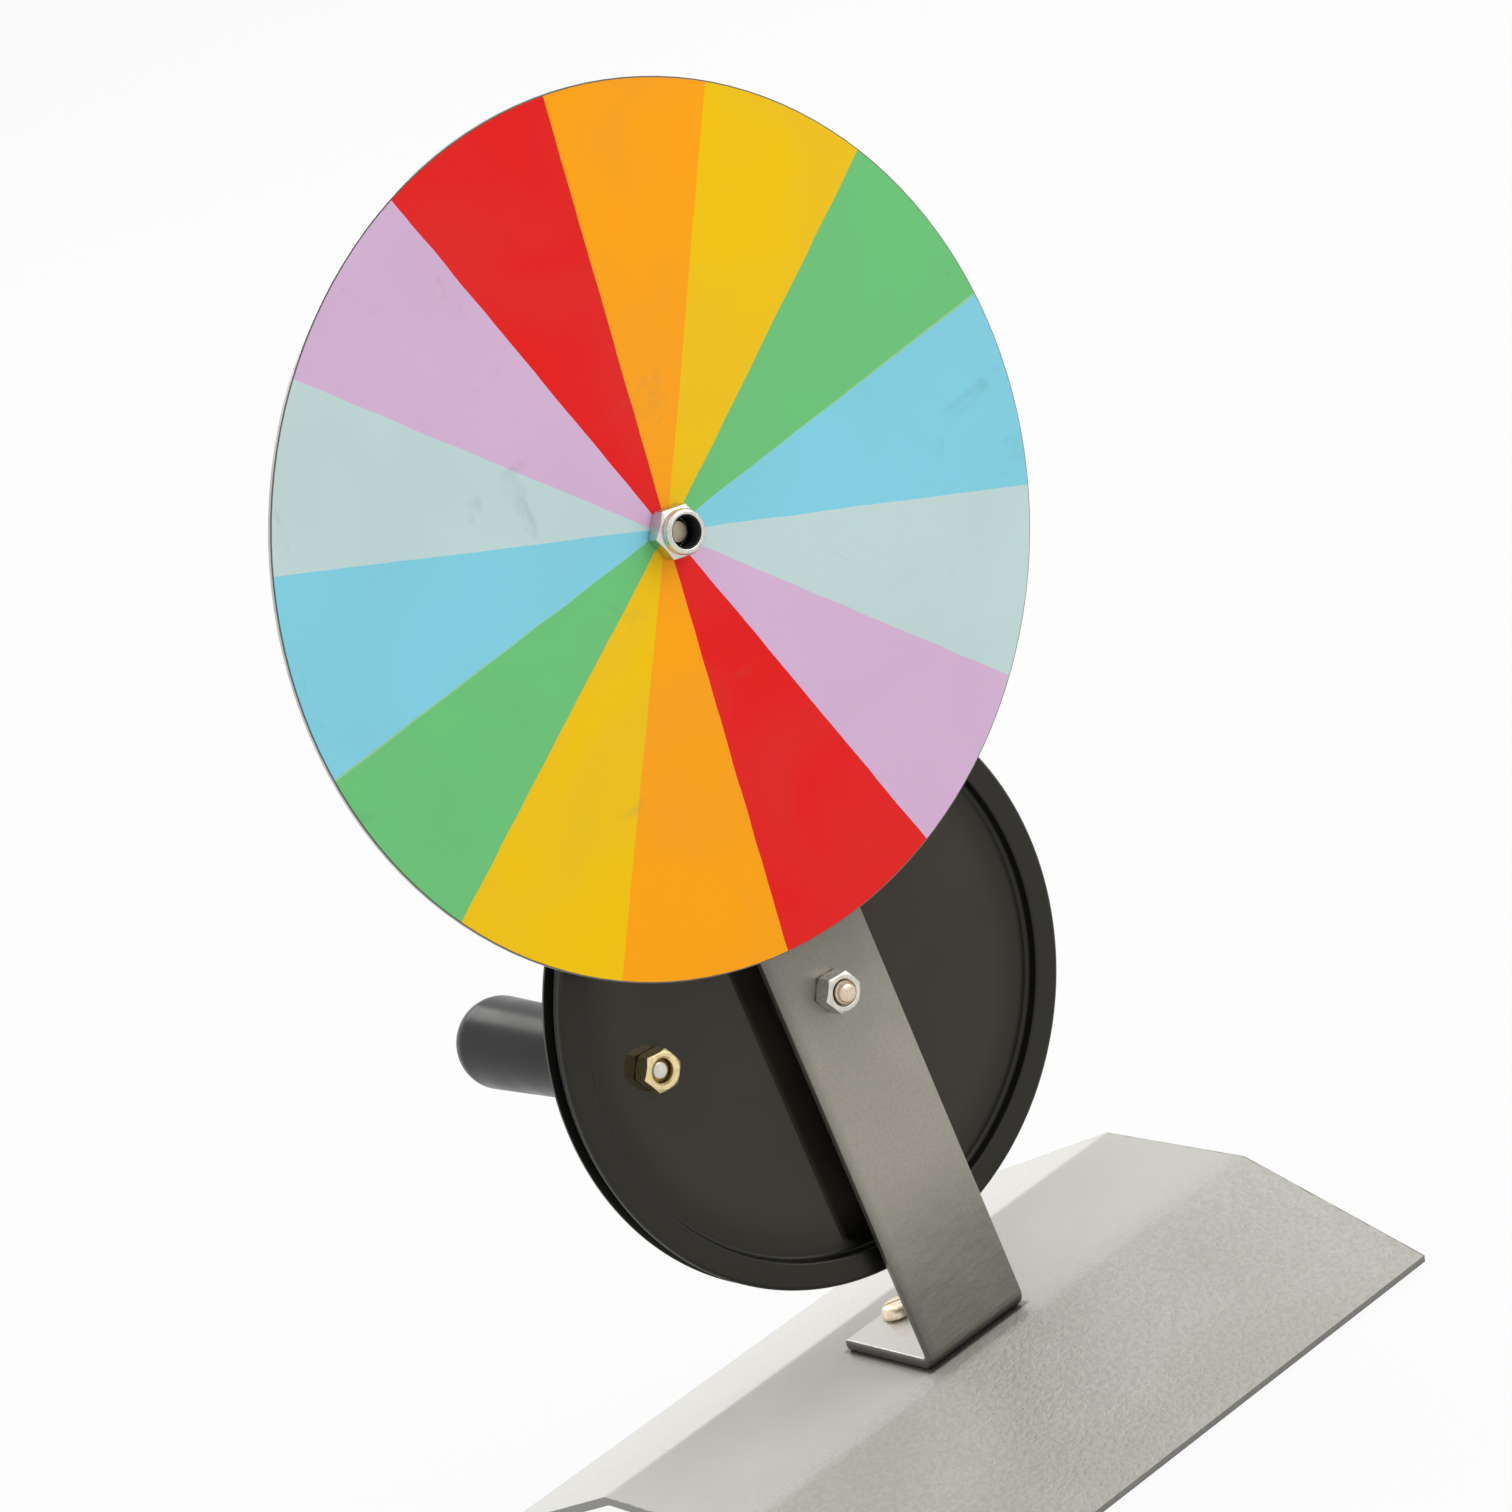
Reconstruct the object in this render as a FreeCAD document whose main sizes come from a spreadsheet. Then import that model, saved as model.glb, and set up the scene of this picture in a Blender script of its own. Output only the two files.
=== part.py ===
"""Hand-driven colour disc on a folded sheet-steel base.

Frame: +X along the base, +Y away from the viewer, +Z up, in millimetres.
The disc faces -Y. The origin is on the table, under the disc's middle and
half way between the base's front and back edges.
"""
import FreeCAD, Part

import os
import re

import Sketcher
from FreeCAD import Placement, Rotation, Vector

doc = FreeCAD.newDocument("ColourDisc")
sheet = doc.addObject("Spreadsheet::Sheet", "Sizes")

# Driving dimensions in millimetres and degrees, one per row of the sheet
SIZES = (
    ("base_width", 150, "Base along X"),
    ("base_depth", 150, "Base along Y, over its two lower edges"),
    ("base_height", 19.5, "Base top above the table"),
    ("base_sheet", 2, "Base sheet thickness"),
    ("base_flat", 48, "Width of the flat top between the two bends"),
    ("base_flat_shift", -2, "Middle of the flat top along Y"),
    ("base_shift", 1.3, "Middle of the base along X"),
    ("base_bend", 3, "Inside radius of the base's bends"),
    ("base_land", 0.8, "Width of the land dressed on each lower edge"),
    ("bracket_front", -21.5, "Front face of the bracket along Y"),
    ("strip_width", 27, "Bracket strip width"),
    ("strip_shift", 0.8, "Middle of the strip along X, its holes being off its middle"),
    ("strip_thick", 2.5, "Bracket strip thickness"),
    ("strip_edge", 0.8, "Rounding of the strip's long edges"),
    ("strip_bend", 1.5, "Inside radius of the bracket's bend"),
    ("strip_above", 13, "Strip above the spindle"),
    ("strip_corner", 4, "Radius of the strip's top corners"),
    ("foot_length", 31.5, "Bracket foot from the front face"),
    ("foot_hole_back", 27, "Foot screw behind the bracket's front face"),
    ("axle_height", 104.5, "Wheel axle above the table"),
    ("spindle_height", 210, "Disc spindle above the table"),
    ("disc_radius", 89, "Colour disc radius, half of seven inches"),
    ("disc_thick", 0.8, "Disc plate thickness"),
    ("face_thick", 0.2, "Printed sheet on the disc"),
    ("face_margin", 0.3, "Bare metal round the printed sheet"),
    ("disc_hole_gap", 0.1, "Disc hole over the spindle, on the radius"),
    ("wheel_radius", 62.5, "Drive wheel radius"),
    ("wheel_width", 7.5, "Drive wheel width over its rim"),
    ("wheel_recess", 2.7, "Depth of the dish in the wheel's front"),
    ("ring_width", 5.8, "Flat ring round the dish"),
    ("recess_draft", 0.3, "Slope of the dish's wall, on the radius"),
    ("web_thick", 2.4, "Wheel web"),
    ("hub_radius", 10, "Wheel hub"),
    ("hub_rise", 0.5, "Hub in front of the web"),
    ("hub_length", 11, "Wheel hub length"),
    ("rim_round", 1, "Rounding of the wheel's rim edges"),
    ("wheel_pitch", 60, "Belt centre line round the wheel"),
    ("pulley_pitch", 8, "Belt centre line round the small pulley"),
    ("belt_radius", 1.5, "Round belt, half its thickness"),
    ("belt_gap", 0.3, "Belt to the groove's floor and sides"),
    ("groove_flare", 0.6, "Groove wider at the rim, each side"),
    ("pulley_flange", 1, "Small pulley's rim outside the belt"),
    ("pulley_width", 7.6, "Small pulley width over its rim"),
    ("pulley_hub_radius", 7, "Small pulley's hub"),
    ("pulley_hub_length", 7, "Hub behind the small pulley's rim"),
    ("pulley_screw_radius", 1.5, "Grub screw in the small pulley"),
    ("pulley_screw_slot", 0.5, "Width of the grub screw's slot"),
    ("pulley_screw_slot_depth", 0.8, "Depth of the grub screw's slot"),
    ("spindle_radius", 3, "Disc spindle"),
    ("spindle_tail", 1.5, "Spindle behind the small pulley's hub"),
    ("spindle_recess", 1.4, "Spindle end inside the hub nut"),
    ("spindle_chamfer", 0.5, "Chamfer of the spindle's ends"),
    ("spindle_bush_radius", 5, "Spindle bush barrel"),
    ("bush_flange_radius", 7.5, "Spindle bush flange"),
    ("bush_flange_thick", 2.7, "Spindle bush flange"),
    ("hub_nut_flats", 10, "Hub nut and backing nut across flats"),
    ("hub_nut_height", 6, "Hub nut height, with its collar"),
    ("hub_nut_collar", 2, "Collar of the hub nut round the nylon ring"),
    ("hub_collar_radius", 4.6, "Hub nut collar radius"),
    ("hub_collar_round", 0.4, "Rounding of the collar's rim"),
    ("nylon_wall", 0.9, "Wall of the nylon ring"),
    ("nylon_height", 1.7, "Height of the nylon ring"),
    ("backing_nut_height", 5, "Nut behind the disc"),
    ("disc_washer_radius", 9, "Washer behind the disc"),
    ("disc_washer_thick", 1.6, "Washer behind the disc"),
    ("spindle_washer_radius", 6, "Washer between backing nut and bush"),
    ("spindle_washer_thick", 1.6, "Washer between backing nut and bush"),
    ("axle_radius", 2.5, "Axle bolt"),
    ("axle_out", 1.6, "Axle bolt in front of its nut"),
    ("axle_chamfer", 0.5, "Chamfer of the axle bolt's end"),
    ("wheel_bush_radius", 4, "Bush in the wheel's hub"),
    ("nut_flats", 8, "Axle and crank nuts across flats"),
    ("nut_face", 0.475, "Radius of a nut's flat face, over its flats"),
    ("nut_past_corner", 0.6, "Radius just outside a nut's corners, over its flats"),
    ("nut_chamfer_angle", 30, "Chamfer of a nut's corners"),
    ("nut_height", 4.7, "Full nut"),
    ("lock_nut_height", 2.7, "Thin nut"),
    ("bolt_head_height", 3.5, "Axle bolt's hex head"),
    ("washer_radius", 5, "Axle and crank washers"),
    ("washer_thick", 1, "Rear axle washer and crank washers"),
    ("front_washer_thick", 1.6, "Washer between thin nut and wheel"),
    ("crank_radius", 41.5, "Crank bolt from the wheel's axis"),
    ("crank_angle", 173.5, "Crank bolt round the wheel, from +X"),
    ("crank_boss_radius", 8, "Boss for the crank bolt on the web's back"),
    ("crank_out", 0.6, "Crank bolt in front of its nut"),
    ("crank_bolt_radius", 2.5, "Crank bolt"),
    ("crank_chamfer", 0.65, "Chamfer of the crank bolt's end"),
    ("crank_head_radius", 4.2, "Crank bolt's round head"),
    ("crank_head_height", 3.3, "Crank bolt's round head"),
    ("crank_head_round", 2, "Rounding of the crank bolt's head"),
    ("crank_slot", 1.2, "Width of the slot in the crank bolt's head"),
    ("crank_slot_depth", 1.3, "Depth of the slot in the crank bolt's head"),
    ("grip_length", 57, "Grip"),
    ("grip_front_radius", 8.7, "Grip next to the wheel"),
    ("grip_radius", 10, "Grip at its swell"),
    ("grip_dome", 8.5, "Rounding of the grip's end"),
    ("grip_edge", 1, "Rounding of the grip's front edge"),
    ("grip_well", 6, "Depth of the well for the crank bolt's head"),
    ("grip_well_gap", 0.8, "Well round the crank bolt's head"),
    ("foot_screw_radius", 2, "Foot screw"),
    ("foot_head_radius", 4, "Foot screw's round head"),
    ("foot_head_height", 2.9, "Foot screw's round head"),
    ("foot_head_round", 2.45, "Rounding of the foot screw's head"),
    ("foot_slot", 0.8, "Width of the slot in the foot screw's head"),
    ("foot_slot_depth", 0.8, "Depth of the slot in the foot screw's head"),
    ("foot_screw_tail", 1.2, "Foot screw below its nut"),
    ("foot_nut_flats", 7, "Foot nut across flats"),
    ("foot_nut_height", 3.2, "Foot nut"),
    ("foot_washer_radius", 4.5, "Foot washer"),
    ("foot_washer_thick", 0.8, "Foot washer"),
    ("hole_gap", 0.2, "Clearance hole round a bolt, on the radius"),
    ("thread_gap", 0.05, "Nut bore round its bolt, on the radius"),
    ("running_gap", 0.08, "Bearing bore round its shaft, on the radius"),
    ("end_float", 0.3, "End play of each turning piece"),
)
ALIASES = [alias for alias, number, note in SIZES]
for row, (alias, number, note) in enumerate(SIZES, 1):
    sheet.set(f"A{row}", note)
    sheet.set(f"B{row}", str(number))
    sheet.setAlias(f"B{row}", alias)
doc.recompute()

# Stations along Y, from the bracket backwards
BRACKET_BACK = "(bracket_front + strip_thick)"
HUB_FRONT = f"({BRACKET_BACK} + lock_nut_height + front_washer_thick + end_float)"
HUB_BACK = f"({HUB_FRONT} + hub_length)"
WEB_FRONT = f"({HUB_FRONT} + hub_rise)"
BELT_PLANE = f"({WEB_FRONT} - wheel_recess + wheel_width / 2)"
WHEEL_BACK = f"({BELT_PLANE} + wheel_width / 2)"
AXLE_HEAD = f"({HUB_BACK} + end_float + washer_thick)"
GRIP_FRONT = f"({WHEEL_BACK} + 2 * washer_thick + lock_nut_height + end_float)"
GRIP_BACK = f"({GRIP_FRONT} + grip_length)"
PULLEY_FRONT = f"({BELT_PLANE} - pulley_width / 2)"
SPINDLE_BACK = f"({BELT_PLANE} + pulley_width / 2 + pulley_hub_length + spindle_tail)"

# Stations along Y, from the bracket forwards
SPINDLE_WASHER_BACK = "(bracket_front - bush_flange_thick - end_float)"
BACKING_NUT_BACK = f"({SPINDLE_WASHER_BACK} - spindle_washer_thick)"
DISC_WASHER_BACK = f"({BACKING_NUT_BACK} - backing_nut_height)"
DISC_BACK = f"({DISC_WASHER_BACK} - disc_washer_thick)"
FACE_BACK = f"({DISC_BACK} - disc_thick)"
FACE_FRONT = f"({FACE_BACK} - face_thick)"

# Places across the object
CRANK_X = "(crank_radius * cos(crank_angle))"
CRANK_Z = "(crank_radius * sin(crank_angle))"
FOOT_HOLE_Y = "(bracket_front + foot_hole_back)"
FOOT_TOP = "(base_height + strip_thick)"
BASE_INSIDE = "(base_height - base_sheet)"

FACING_FRONT = Rotation(Vector(1, 0, 0), 90)
FACING_BACK = Rotation(Vector(1, 0, 0), -90)
UPRIGHT = Rotation()

# Turn of each piece with flats or a slot that shows, about its axis
AXLE_NUT_TURN = Rotation(Vector(0, 0, 1), -3)
CRANK_NUT_TURN = Rotation(Vector(0, 0, 1), -4)
HUB_NUT_TURN = Rotation(Vector(0, 0, 1), -10)
FOOT_SCREW_TURN = Rotation(Vector(0, 0, 1), -30)


def formula(text):
    """Write a formula over the sheet's aliases as the document reads it."""
    return re.sub(r"[a-z_]+", lambda word: f"Sizes.{word.group()}" if word.group() in ALIASES
                  else word.group(), text)


def value(text):
    """Work a formula out now, for the first position of a sketch's points."""
    return float(sheet.evalExpression(formula(text)))


def new_body(label):
    """Start a body of its own for one piece."""
    body = doc.addObject("PartDesign::Body", label)
    body.Label = label
    return body


def put(piece, x, y, z, rotation):
    """Turn a piece, and tie its place to the sheet."""
    piece.Placement = Placement(Vector(value(x), value(y), value(z)), rotation)
    piece.setExpression("Placement.Base.x", formula(x))
    piece.setExpression("Placement.Base.y", formula(y))
    piece.setExpression("Placement.Base.z", formula(z))
    return piece


def new_sketch(body, plane, lift="0"):
    """Start a sketch on one of the body's origin planes, lifted along its normal."""
    sketch = body.newObject("Sketcher::SketchObject", "Sketch")
    for feature in body.Origin.OriginFeatures:
        if feature.Role == plane:
            sketch.AttachmentSupport = [(feature, "")]
    sketch.MapMode = "FlatFace"
    sketch.setExpression("AttachmentOffset.Base.z", formula(lift))
    return sketch


def tie(sketch, kind, places, text):
    """Add one measured constraint and bind it to a formula."""
    index = sketch.addConstraint(Sketcher.Constraint(kind, *places, value(text)))
    sketch.setExpression(f"Constraints[{index}]", formula(text))


def polygon(sketch, corners):
    """Draw a closed outline whose corners are pairs of formulas."""
    points = [Vector(value(across), value(up), 0) for across, up in corners]
    lines = [sketch.addGeometry(Part.LineSegment(start, points[(i + 1) % len(points)]), False)
             for i, start in enumerate(points)]
    for i, line in enumerate(lines):
        sketch.addConstraint(Sketcher.Constraint("Coincident", line, 2, lines[(i + 1) % len(lines)], 1))
    for line, (across, up) in zip(lines, corners):
        tie(sketch, "DistanceX", (-1, 1, line, 1), across)
        tie(sketch, "DistanceY", (-1, 1, line, 1), up)


def circle(sketch, across, up, radius):
    """Draw a circle at a place given by formulas."""
    centre = Vector(value(across), value(up), 0)
    ring = sketch.addGeometry(Part.Circle(centre, Vector(0, 0, 1), value(radius)), False)
    tie(sketch, "DistanceX", (-1, 1, ring, 3), across)
    tie(sketch, "DistanceY", (-1, 1, ring, 3), up)
    tie(sketch, "Radius", (ring,), radius)


def extrude(body, kind, sketch, length, symmetric=False, reverse=False):
    """Pad or pocket a sketch by a length, or all the way through both ways."""
    feature = body.newObject(f"PartDesign::{kind}", kind)
    feature.Profile = sketch
    if length == "through":
        feature.Type = "ThroughAll"
        feature.Midplane = True
    else:
        feature.setExpression("Length", formula(length))
        feature.Midplane = symmetric
        feature.Reversed = reverse
    doc.recompute()
    return feature


def turn(body, kind, corners):
    """Revolve an outline of (radius, height) corners about the body's Z axis."""
    sketch = new_sketch(body, "XZ_Plane")
    polygon(sketch, corners)
    feature = body.newObject(f"PartDesign::{kind}", kind)
    feature.Profile = sketch
    feature.ReferenceAxis = (sketch, ["V_Axis"])
    feature.Angle = 360
    doc.recompute()
    return feature


def through_hole(body, plane, across, up, radius):
    """Bore a round hole right through a piece."""
    sketch = new_sketch(body, plane)
    circle(sketch, across, up, radius)
    before = body.Shape.Volume
    extrude(body, "Pocket", sketch, "through")
    if body.Shape.Volume >= before:
        raise RuntimeError(f"{body.Label}: a hole cut nothing")


def round_edges(body, radius, test):
    """Round the edges whose middle point passes a test."""
    tip = body.Tip
    names = [f"Edge{i}" for i, edge in enumerate(tip.Shape.Edges, 1)
             if test(edge.valueAt((edge.FirstParameter + edge.LastParameter) / 2), edge)]
    fillet = body.newObject("PartDesign::Fillet", "Fillet")
    fillet.Base = (tip, names)
    fillet.setExpression("Radius", formula(radius))
    doc.recompute()


def near(number, text):
    """True where a coordinate lies at a formula's value."""
    return abs(number - value(text)) < 0.01


def ring(label, inner, outer, height):
    """Make a plain ring, such as a washer or a disc, from z = 0 upwards."""
    body = new_body(label)
    turn(body, "Revolution", [(inner, "0"), (outer, "0"), (outer, height), (inner, height)])
    return body


def hexagon(flats):
    """List the corners of a hexagon by its width across flats."""
    return [(f"{flats} / sqrt(3) * cos({60 * k})", f"{flats} / sqrt(3) * sin({60 * k})")
            for k in range(6)]


def chamfer_hexagon(body, flats, face, inward):
    """Take the corners off one end of a hexagon."""
    inner = f"nut_face * {flats}"
    outer = f"nut_past_corner * {flats}"
    drop = f"({outer} - {inner}) * tan(nut_chamfer_angle)"
    turn(body, "Groove", [(inner, face), (outer, face), (outer, f"{face} {inward} {drop}")])


def hex_nut(label, flats, height, bolt):
    """Make a hex nut from z = 0 upwards, chamfered at both ends."""
    body = new_body(label)
    sketch = new_sketch(body, "XY_Plane")
    polygon(sketch, hexagon(flats))
    extrude(body, "Pad", sketch, height)
    chamfer_hexagon(body, flats, height, "-")
    chamfer_hexagon(body, flats, "0", "+")
    through_hole(body, "XY_Plane", "0", "0", f"{bolt} + thread_gap")
    return body


def cut_slot(body, width, depth, face, reach, reverse=False):
    """Saw a screwdriver slot across a head, down from its face, or up when reversed."""
    sketch = new_sketch(body, "XY_Plane", face)
    half = f"{width} / 2"
    polygon(sketch, [(f"-{reach}", f"-{half}"), (reach, f"-{half}"), (reach, half), (f"-{reach}", half)])
    before = body.Shape.Volume
    extrude(body, "Pocket", sketch, depth, reverse=reverse)
    if body.Shape.Volume >= before:
        raise RuntimeError(f"{body.Label}: the slot cut nothing")


def base_plate():
    """Folded sheet base: flat top, two sloping sides, square-cut edges dressed flat on the table."""
    body = new_body("base_plate")
    sketch = new_sketch(body, "YZ_Plane")
    front, back = "base_flat_shift - base_flat / 2", "base_flat_shift + base_flat / 2"
    reach, top, inside = value("base_depth / 2"), value("base_height"), value(BASE_INSIDE)
    thick, land = value("base_sheet"), value("base_land")
    lean = thick * (top - thick) / (reach - value(back))
    corners = [(-reach, thick), (value(front), top), (value(back), top), (reach, thick),
               (reach - lean, 0), (reach - lean - land, 0), (value(back) - lean, inside),
               (value(front) + lean, inside), (-reach + lean + land, 0), (-reach + lean, 0)]
    points = [Vector(across, up, 0) for across, up in corners]
    edges = [sketch.addGeometry(Part.LineSegment(start, points[(i + 1) % 10]), False)
             for i, start in enumerate(points)]
    for i in range(10):
        sketch.addConstraint(Sketcher.Constraint("Coincident", edges[i], 2, edges[(i + 1) % 10], 1))
    (front_slope, flat, back_slope, back_cut, back_land, back_inside, roof,
     front_inside, front_land, front_cut) = edges
    for line in (flat, back_land, roof, front_land):
        sketch.addConstraint(Sketcher.Constraint("Horizontal", line))
    for line in (back_land, front_land):
        sketch.addConstraint(Sketcher.Constraint("PointOnObject", line, 1, -1))
        tie(sketch, "Distance", (line,), "base_land")
    for slope, cut, inner in ((front_slope, front_cut, front_inside), (back_slope, back_cut, back_inside)):
        sketch.addConstraint(Sketcher.Constraint("Perpendicular", slope, cut))
        sketch.addConstraint(Sketcher.Constraint("Parallel", slope, inner))
        tie(sketch, "Distance", (inner, 1, slope), "base_sheet")
    tie(sketch, "DistanceY", (-1, 1, flat, 1), "base_height")
    tie(sketch, "DistanceY", (-1, 1, roof, 1), BASE_INSIDE)
    tie(sketch, "DistanceX", (-1, 1, flat, 1), front)
    tie(sketch, "DistanceX", (-1, 1, flat, 2), back)
    tie(sketch, "DistanceX", (-1, 1, front_slope, 1), "-base_depth / 2")
    tie(sketch, "DistanceX", (-1, 1, back_slope, 2), "base_depth / 2")
    extrude(body, "Pad", sketch, "base_width", symmetric=True)
    round_edges(body, "base_bend + base_sheet",
                lambda p, edge: near(p.x, "0") and near(p.z, "base_height"))
    round_edges(body, "base_bend", lambda p, edge: near(p.x, "0") and near(p.z, BASE_INSIDE))
    through_hole(body, "XY_Plane", "-base_shift", FOOT_HOLE_Y, "foot_screw_radius + hole_gap")
    return put(body, "base_shift", "0", "0", UPRIGHT)


def upright_bracket():
    """Flat strip, bent back at the bottom into a foot that stands on the base."""
    body = new_body("upright_bracket")
    sketch = new_sketch(body, "YZ_Plane")
    top = "spindle_height + strip_above - base_height"
    polygon(sketch, [("0", "0"), ("foot_length", "0"), ("foot_length", "strip_thick"),
                     ("strip_thick", "strip_thick"), ("strip_thick", top), ("0", top)])
    extrude(body, "Pad", sketch, "strip_width", symmetric=True)
    round_edges(body, "strip_bend + strip_thick", lambda p, edge: near(p.y, "0") and near(p.z, "0"))
    round_edges(body, "strip_bend",
                lambda p, edge: near(p.y, "strip_thick") and near(p.z, "strip_thick"))
    round_edges(body, "strip_corner", lambda p, edge: near(p.y, "strip_thick / 2") and near(p.z, top))
    round_edges(body, "strip_edge", lambda p, edge: not near(p.y, "strip_thick / 2")
                and not near(p.y, "foot_length")
                and (near(abs(p.x), "strip_width / 2") or p.z > value(f"{top} - strip_corner")))
    through_hole(body, "XZ_Plane", "-strip_shift", "spindle_height - base_height", "spindle_bush_radius")
    through_hole(body, "XZ_Plane", "-strip_shift", "axle_height - base_height", "axle_radius + hole_gap")
    through_hole(body, "XY_Plane", "-strip_shift", "foot_hole_back", "foot_screw_radius + hole_gap")
    return put(body, "strip_shift", "bracket_front", "base_height", UPRIGHT)


def foot_fixing():
    """Round-headed slotted screw down through foot and base, with washer and nut beneath."""
    screw = new_body("foot_screw")
    tail = "-(strip_thick + base_sheet + foot_washer_thick + foot_nut_height + foot_screw_tail)"
    turn(screw, "Revolution", [("0", tail), ("foot_screw_radius", tail), ("foot_screw_radius", "0"),
                               ("foot_head_radius", "0"), ("foot_head_radius", "foot_head_height"),
                               ("0", "foot_head_height")])
    round_edges(screw, "foot_head_round",
                lambda p, edge: near(p.z, "foot_head_height") and edge.Length > value("foot_head_radius"))
    cut_slot(screw, "foot_slot", "foot_slot_depth", "foot_head_height", "2 * foot_head_radius")
    put(screw, "0", FOOT_HOLE_Y, FOOT_TOP, FOOT_SCREW_TURN)
    washer = ring("foot_washer", "foot_screw_radius + hole_gap", "foot_washer_radius", "foot_washer_thick")
    put(washer, "0", FOOT_HOLE_Y, f"{BASE_INSIDE} - foot_washer_thick", UPRIGHT)
    nut = hex_nut("foot_nut", "foot_nut_flats", "foot_nut_height", "foot_screw_radius")
    put(nut, "0", FOOT_HOLE_Y, f"{BASE_INSIDE} - foot_washer_thick - foot_nut_height", UPRIGHT)


def axle():
    """Bolt through the bracket that carries the wheel, with its nuts and washers."""
    bolt = new_body("axle_bolt")
    sketch = new_sketch(bolt, "XY_Plane", "-bolt_head_height")
    polygon(sketch, hexagon("nut_flats"))
    extrude(bolt, "Pad", sketch, "bolt_head_height")
    chamfer_hexagon(bolt, "nut_flats", "-bolt_head_height", "+")
    tip = f"({AXLE_HEAD} - bracket_front + nut_height + axle_out)"
    turn(bolt, "Revolution", [("0", "0"), ("axle_radius", "0"), ("axle_radius", f"{tip} - axle_chamfer"),
                              ("axle_radius - axle_chamfer", tip), ("0", tip)])
    put(bolt, "0", AXLE_HEAD, "axle_height", FACING_FRONT)
    nut = hex_nut("axle_nut", "nut_flats", "nut_height", "axle_radius")
    put(nut, "0", "bracket_front", "axle_height", FACING_FRONT * AXLE_NUT_TURN)
    lock = hex_nut("axle_lock_nut", "nut_flats", "lock_nut_height", "axle_radius")
    put(lock, "0", f"{BRACKET_BACK} + lock_nut_height", "axle_height", FACING_FRONT)
    washers = []
    for name, back, thick in (("front_axle_washer", f"{HUB_FRONT} - end_float", "front_washer_thick"),
                              ("rear_axle_washer", AXLE_HEAD, "washer_thick")):
        washer = ring(name, "axle_radius + hole_gap", "washer_radius", thick)
        washers.append(put(washer, "0", back, "axle_height", FACING_FRONT))
    group("axle_washers", washers)


def group(label, pieces):
    """Keep like pieces together as one node of separate solids."""
    compound = doc.addObject("Part::Compound", label)
    compound.Label = label
    compound.Links = pieces


def groove(pitch, rim):
    """List a pulley rim's belt groove, from its front lip to its back lip."""
    floor = f"{pitch} - belt_radius - belt_gap"
    half = "(belt_radius + belt_gap)"
    return [(rim, f"{half} + groove_flare"), (floor, half), (floor, f"-{half}"),
            (rim, f"-({half} + groove_flare)")]


def drive_wheel():
    """Moulded pulley with a dished face, a hub, and a boss for the crank bolt."""
    body = new_body("drive_wheel")
    face, web = "wheel_width / 2", "(wheel_width / 2 - wheel_recess)"
    web_back = f"({web} - web_thick)"
    hub_front = f"({web} + hub_rise)"
    hub_back = f"({hub_front} - hub_length)"
    inner = "(wheel_radius - ring_width)"
    turn(body, "Revolution", [
        ("wheel_bush_radius", hub_front), ("hub_radius", hub_front), ("hub_radius", web),
        (f"{inner} - recess_draft", web), (inner, face), ("wheel_radius", face),
        *groove("wheel_pitch", "wheel_radius"),
        ("wheel_radius", f"-{face}"), (inner, f"-{face}"), (f"{inner} - recess_draft", web_back),
        ("hub_radius", web_back), ("hub_radius", hub_back), ("wheel_bush_radius", hub_back)])
    round_edges(body, "rim_round", lambda p, edge: near(abs(p.z), face)
                and near((p.x ** 2 + p.y ** 2) ** 0.5, "wheel_radius"))
    boss = new_sketch(body, "XY_Plane", f"-{face}")
    circle(boss, CRANK_X, CRANK_Z, "crank_boss_radius")
    extrude(body, "Pad", boss, f"{web_back} + {face}")
    through_hole(body, "XY_Plane", CRANK_X, CRANK_Z, "crank_bolt_radius + thread_gap")
    put(body, "0", BELT_PLANE, "axle_height", FACING_FRONT)
    bush = ring("wheel_bush", "axle_radius + running_gap", "wheel_bush_radius", "hub_length")
    put(bush, "0", HUB_BACK, "axle_height", FACING_FRONT)


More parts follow.
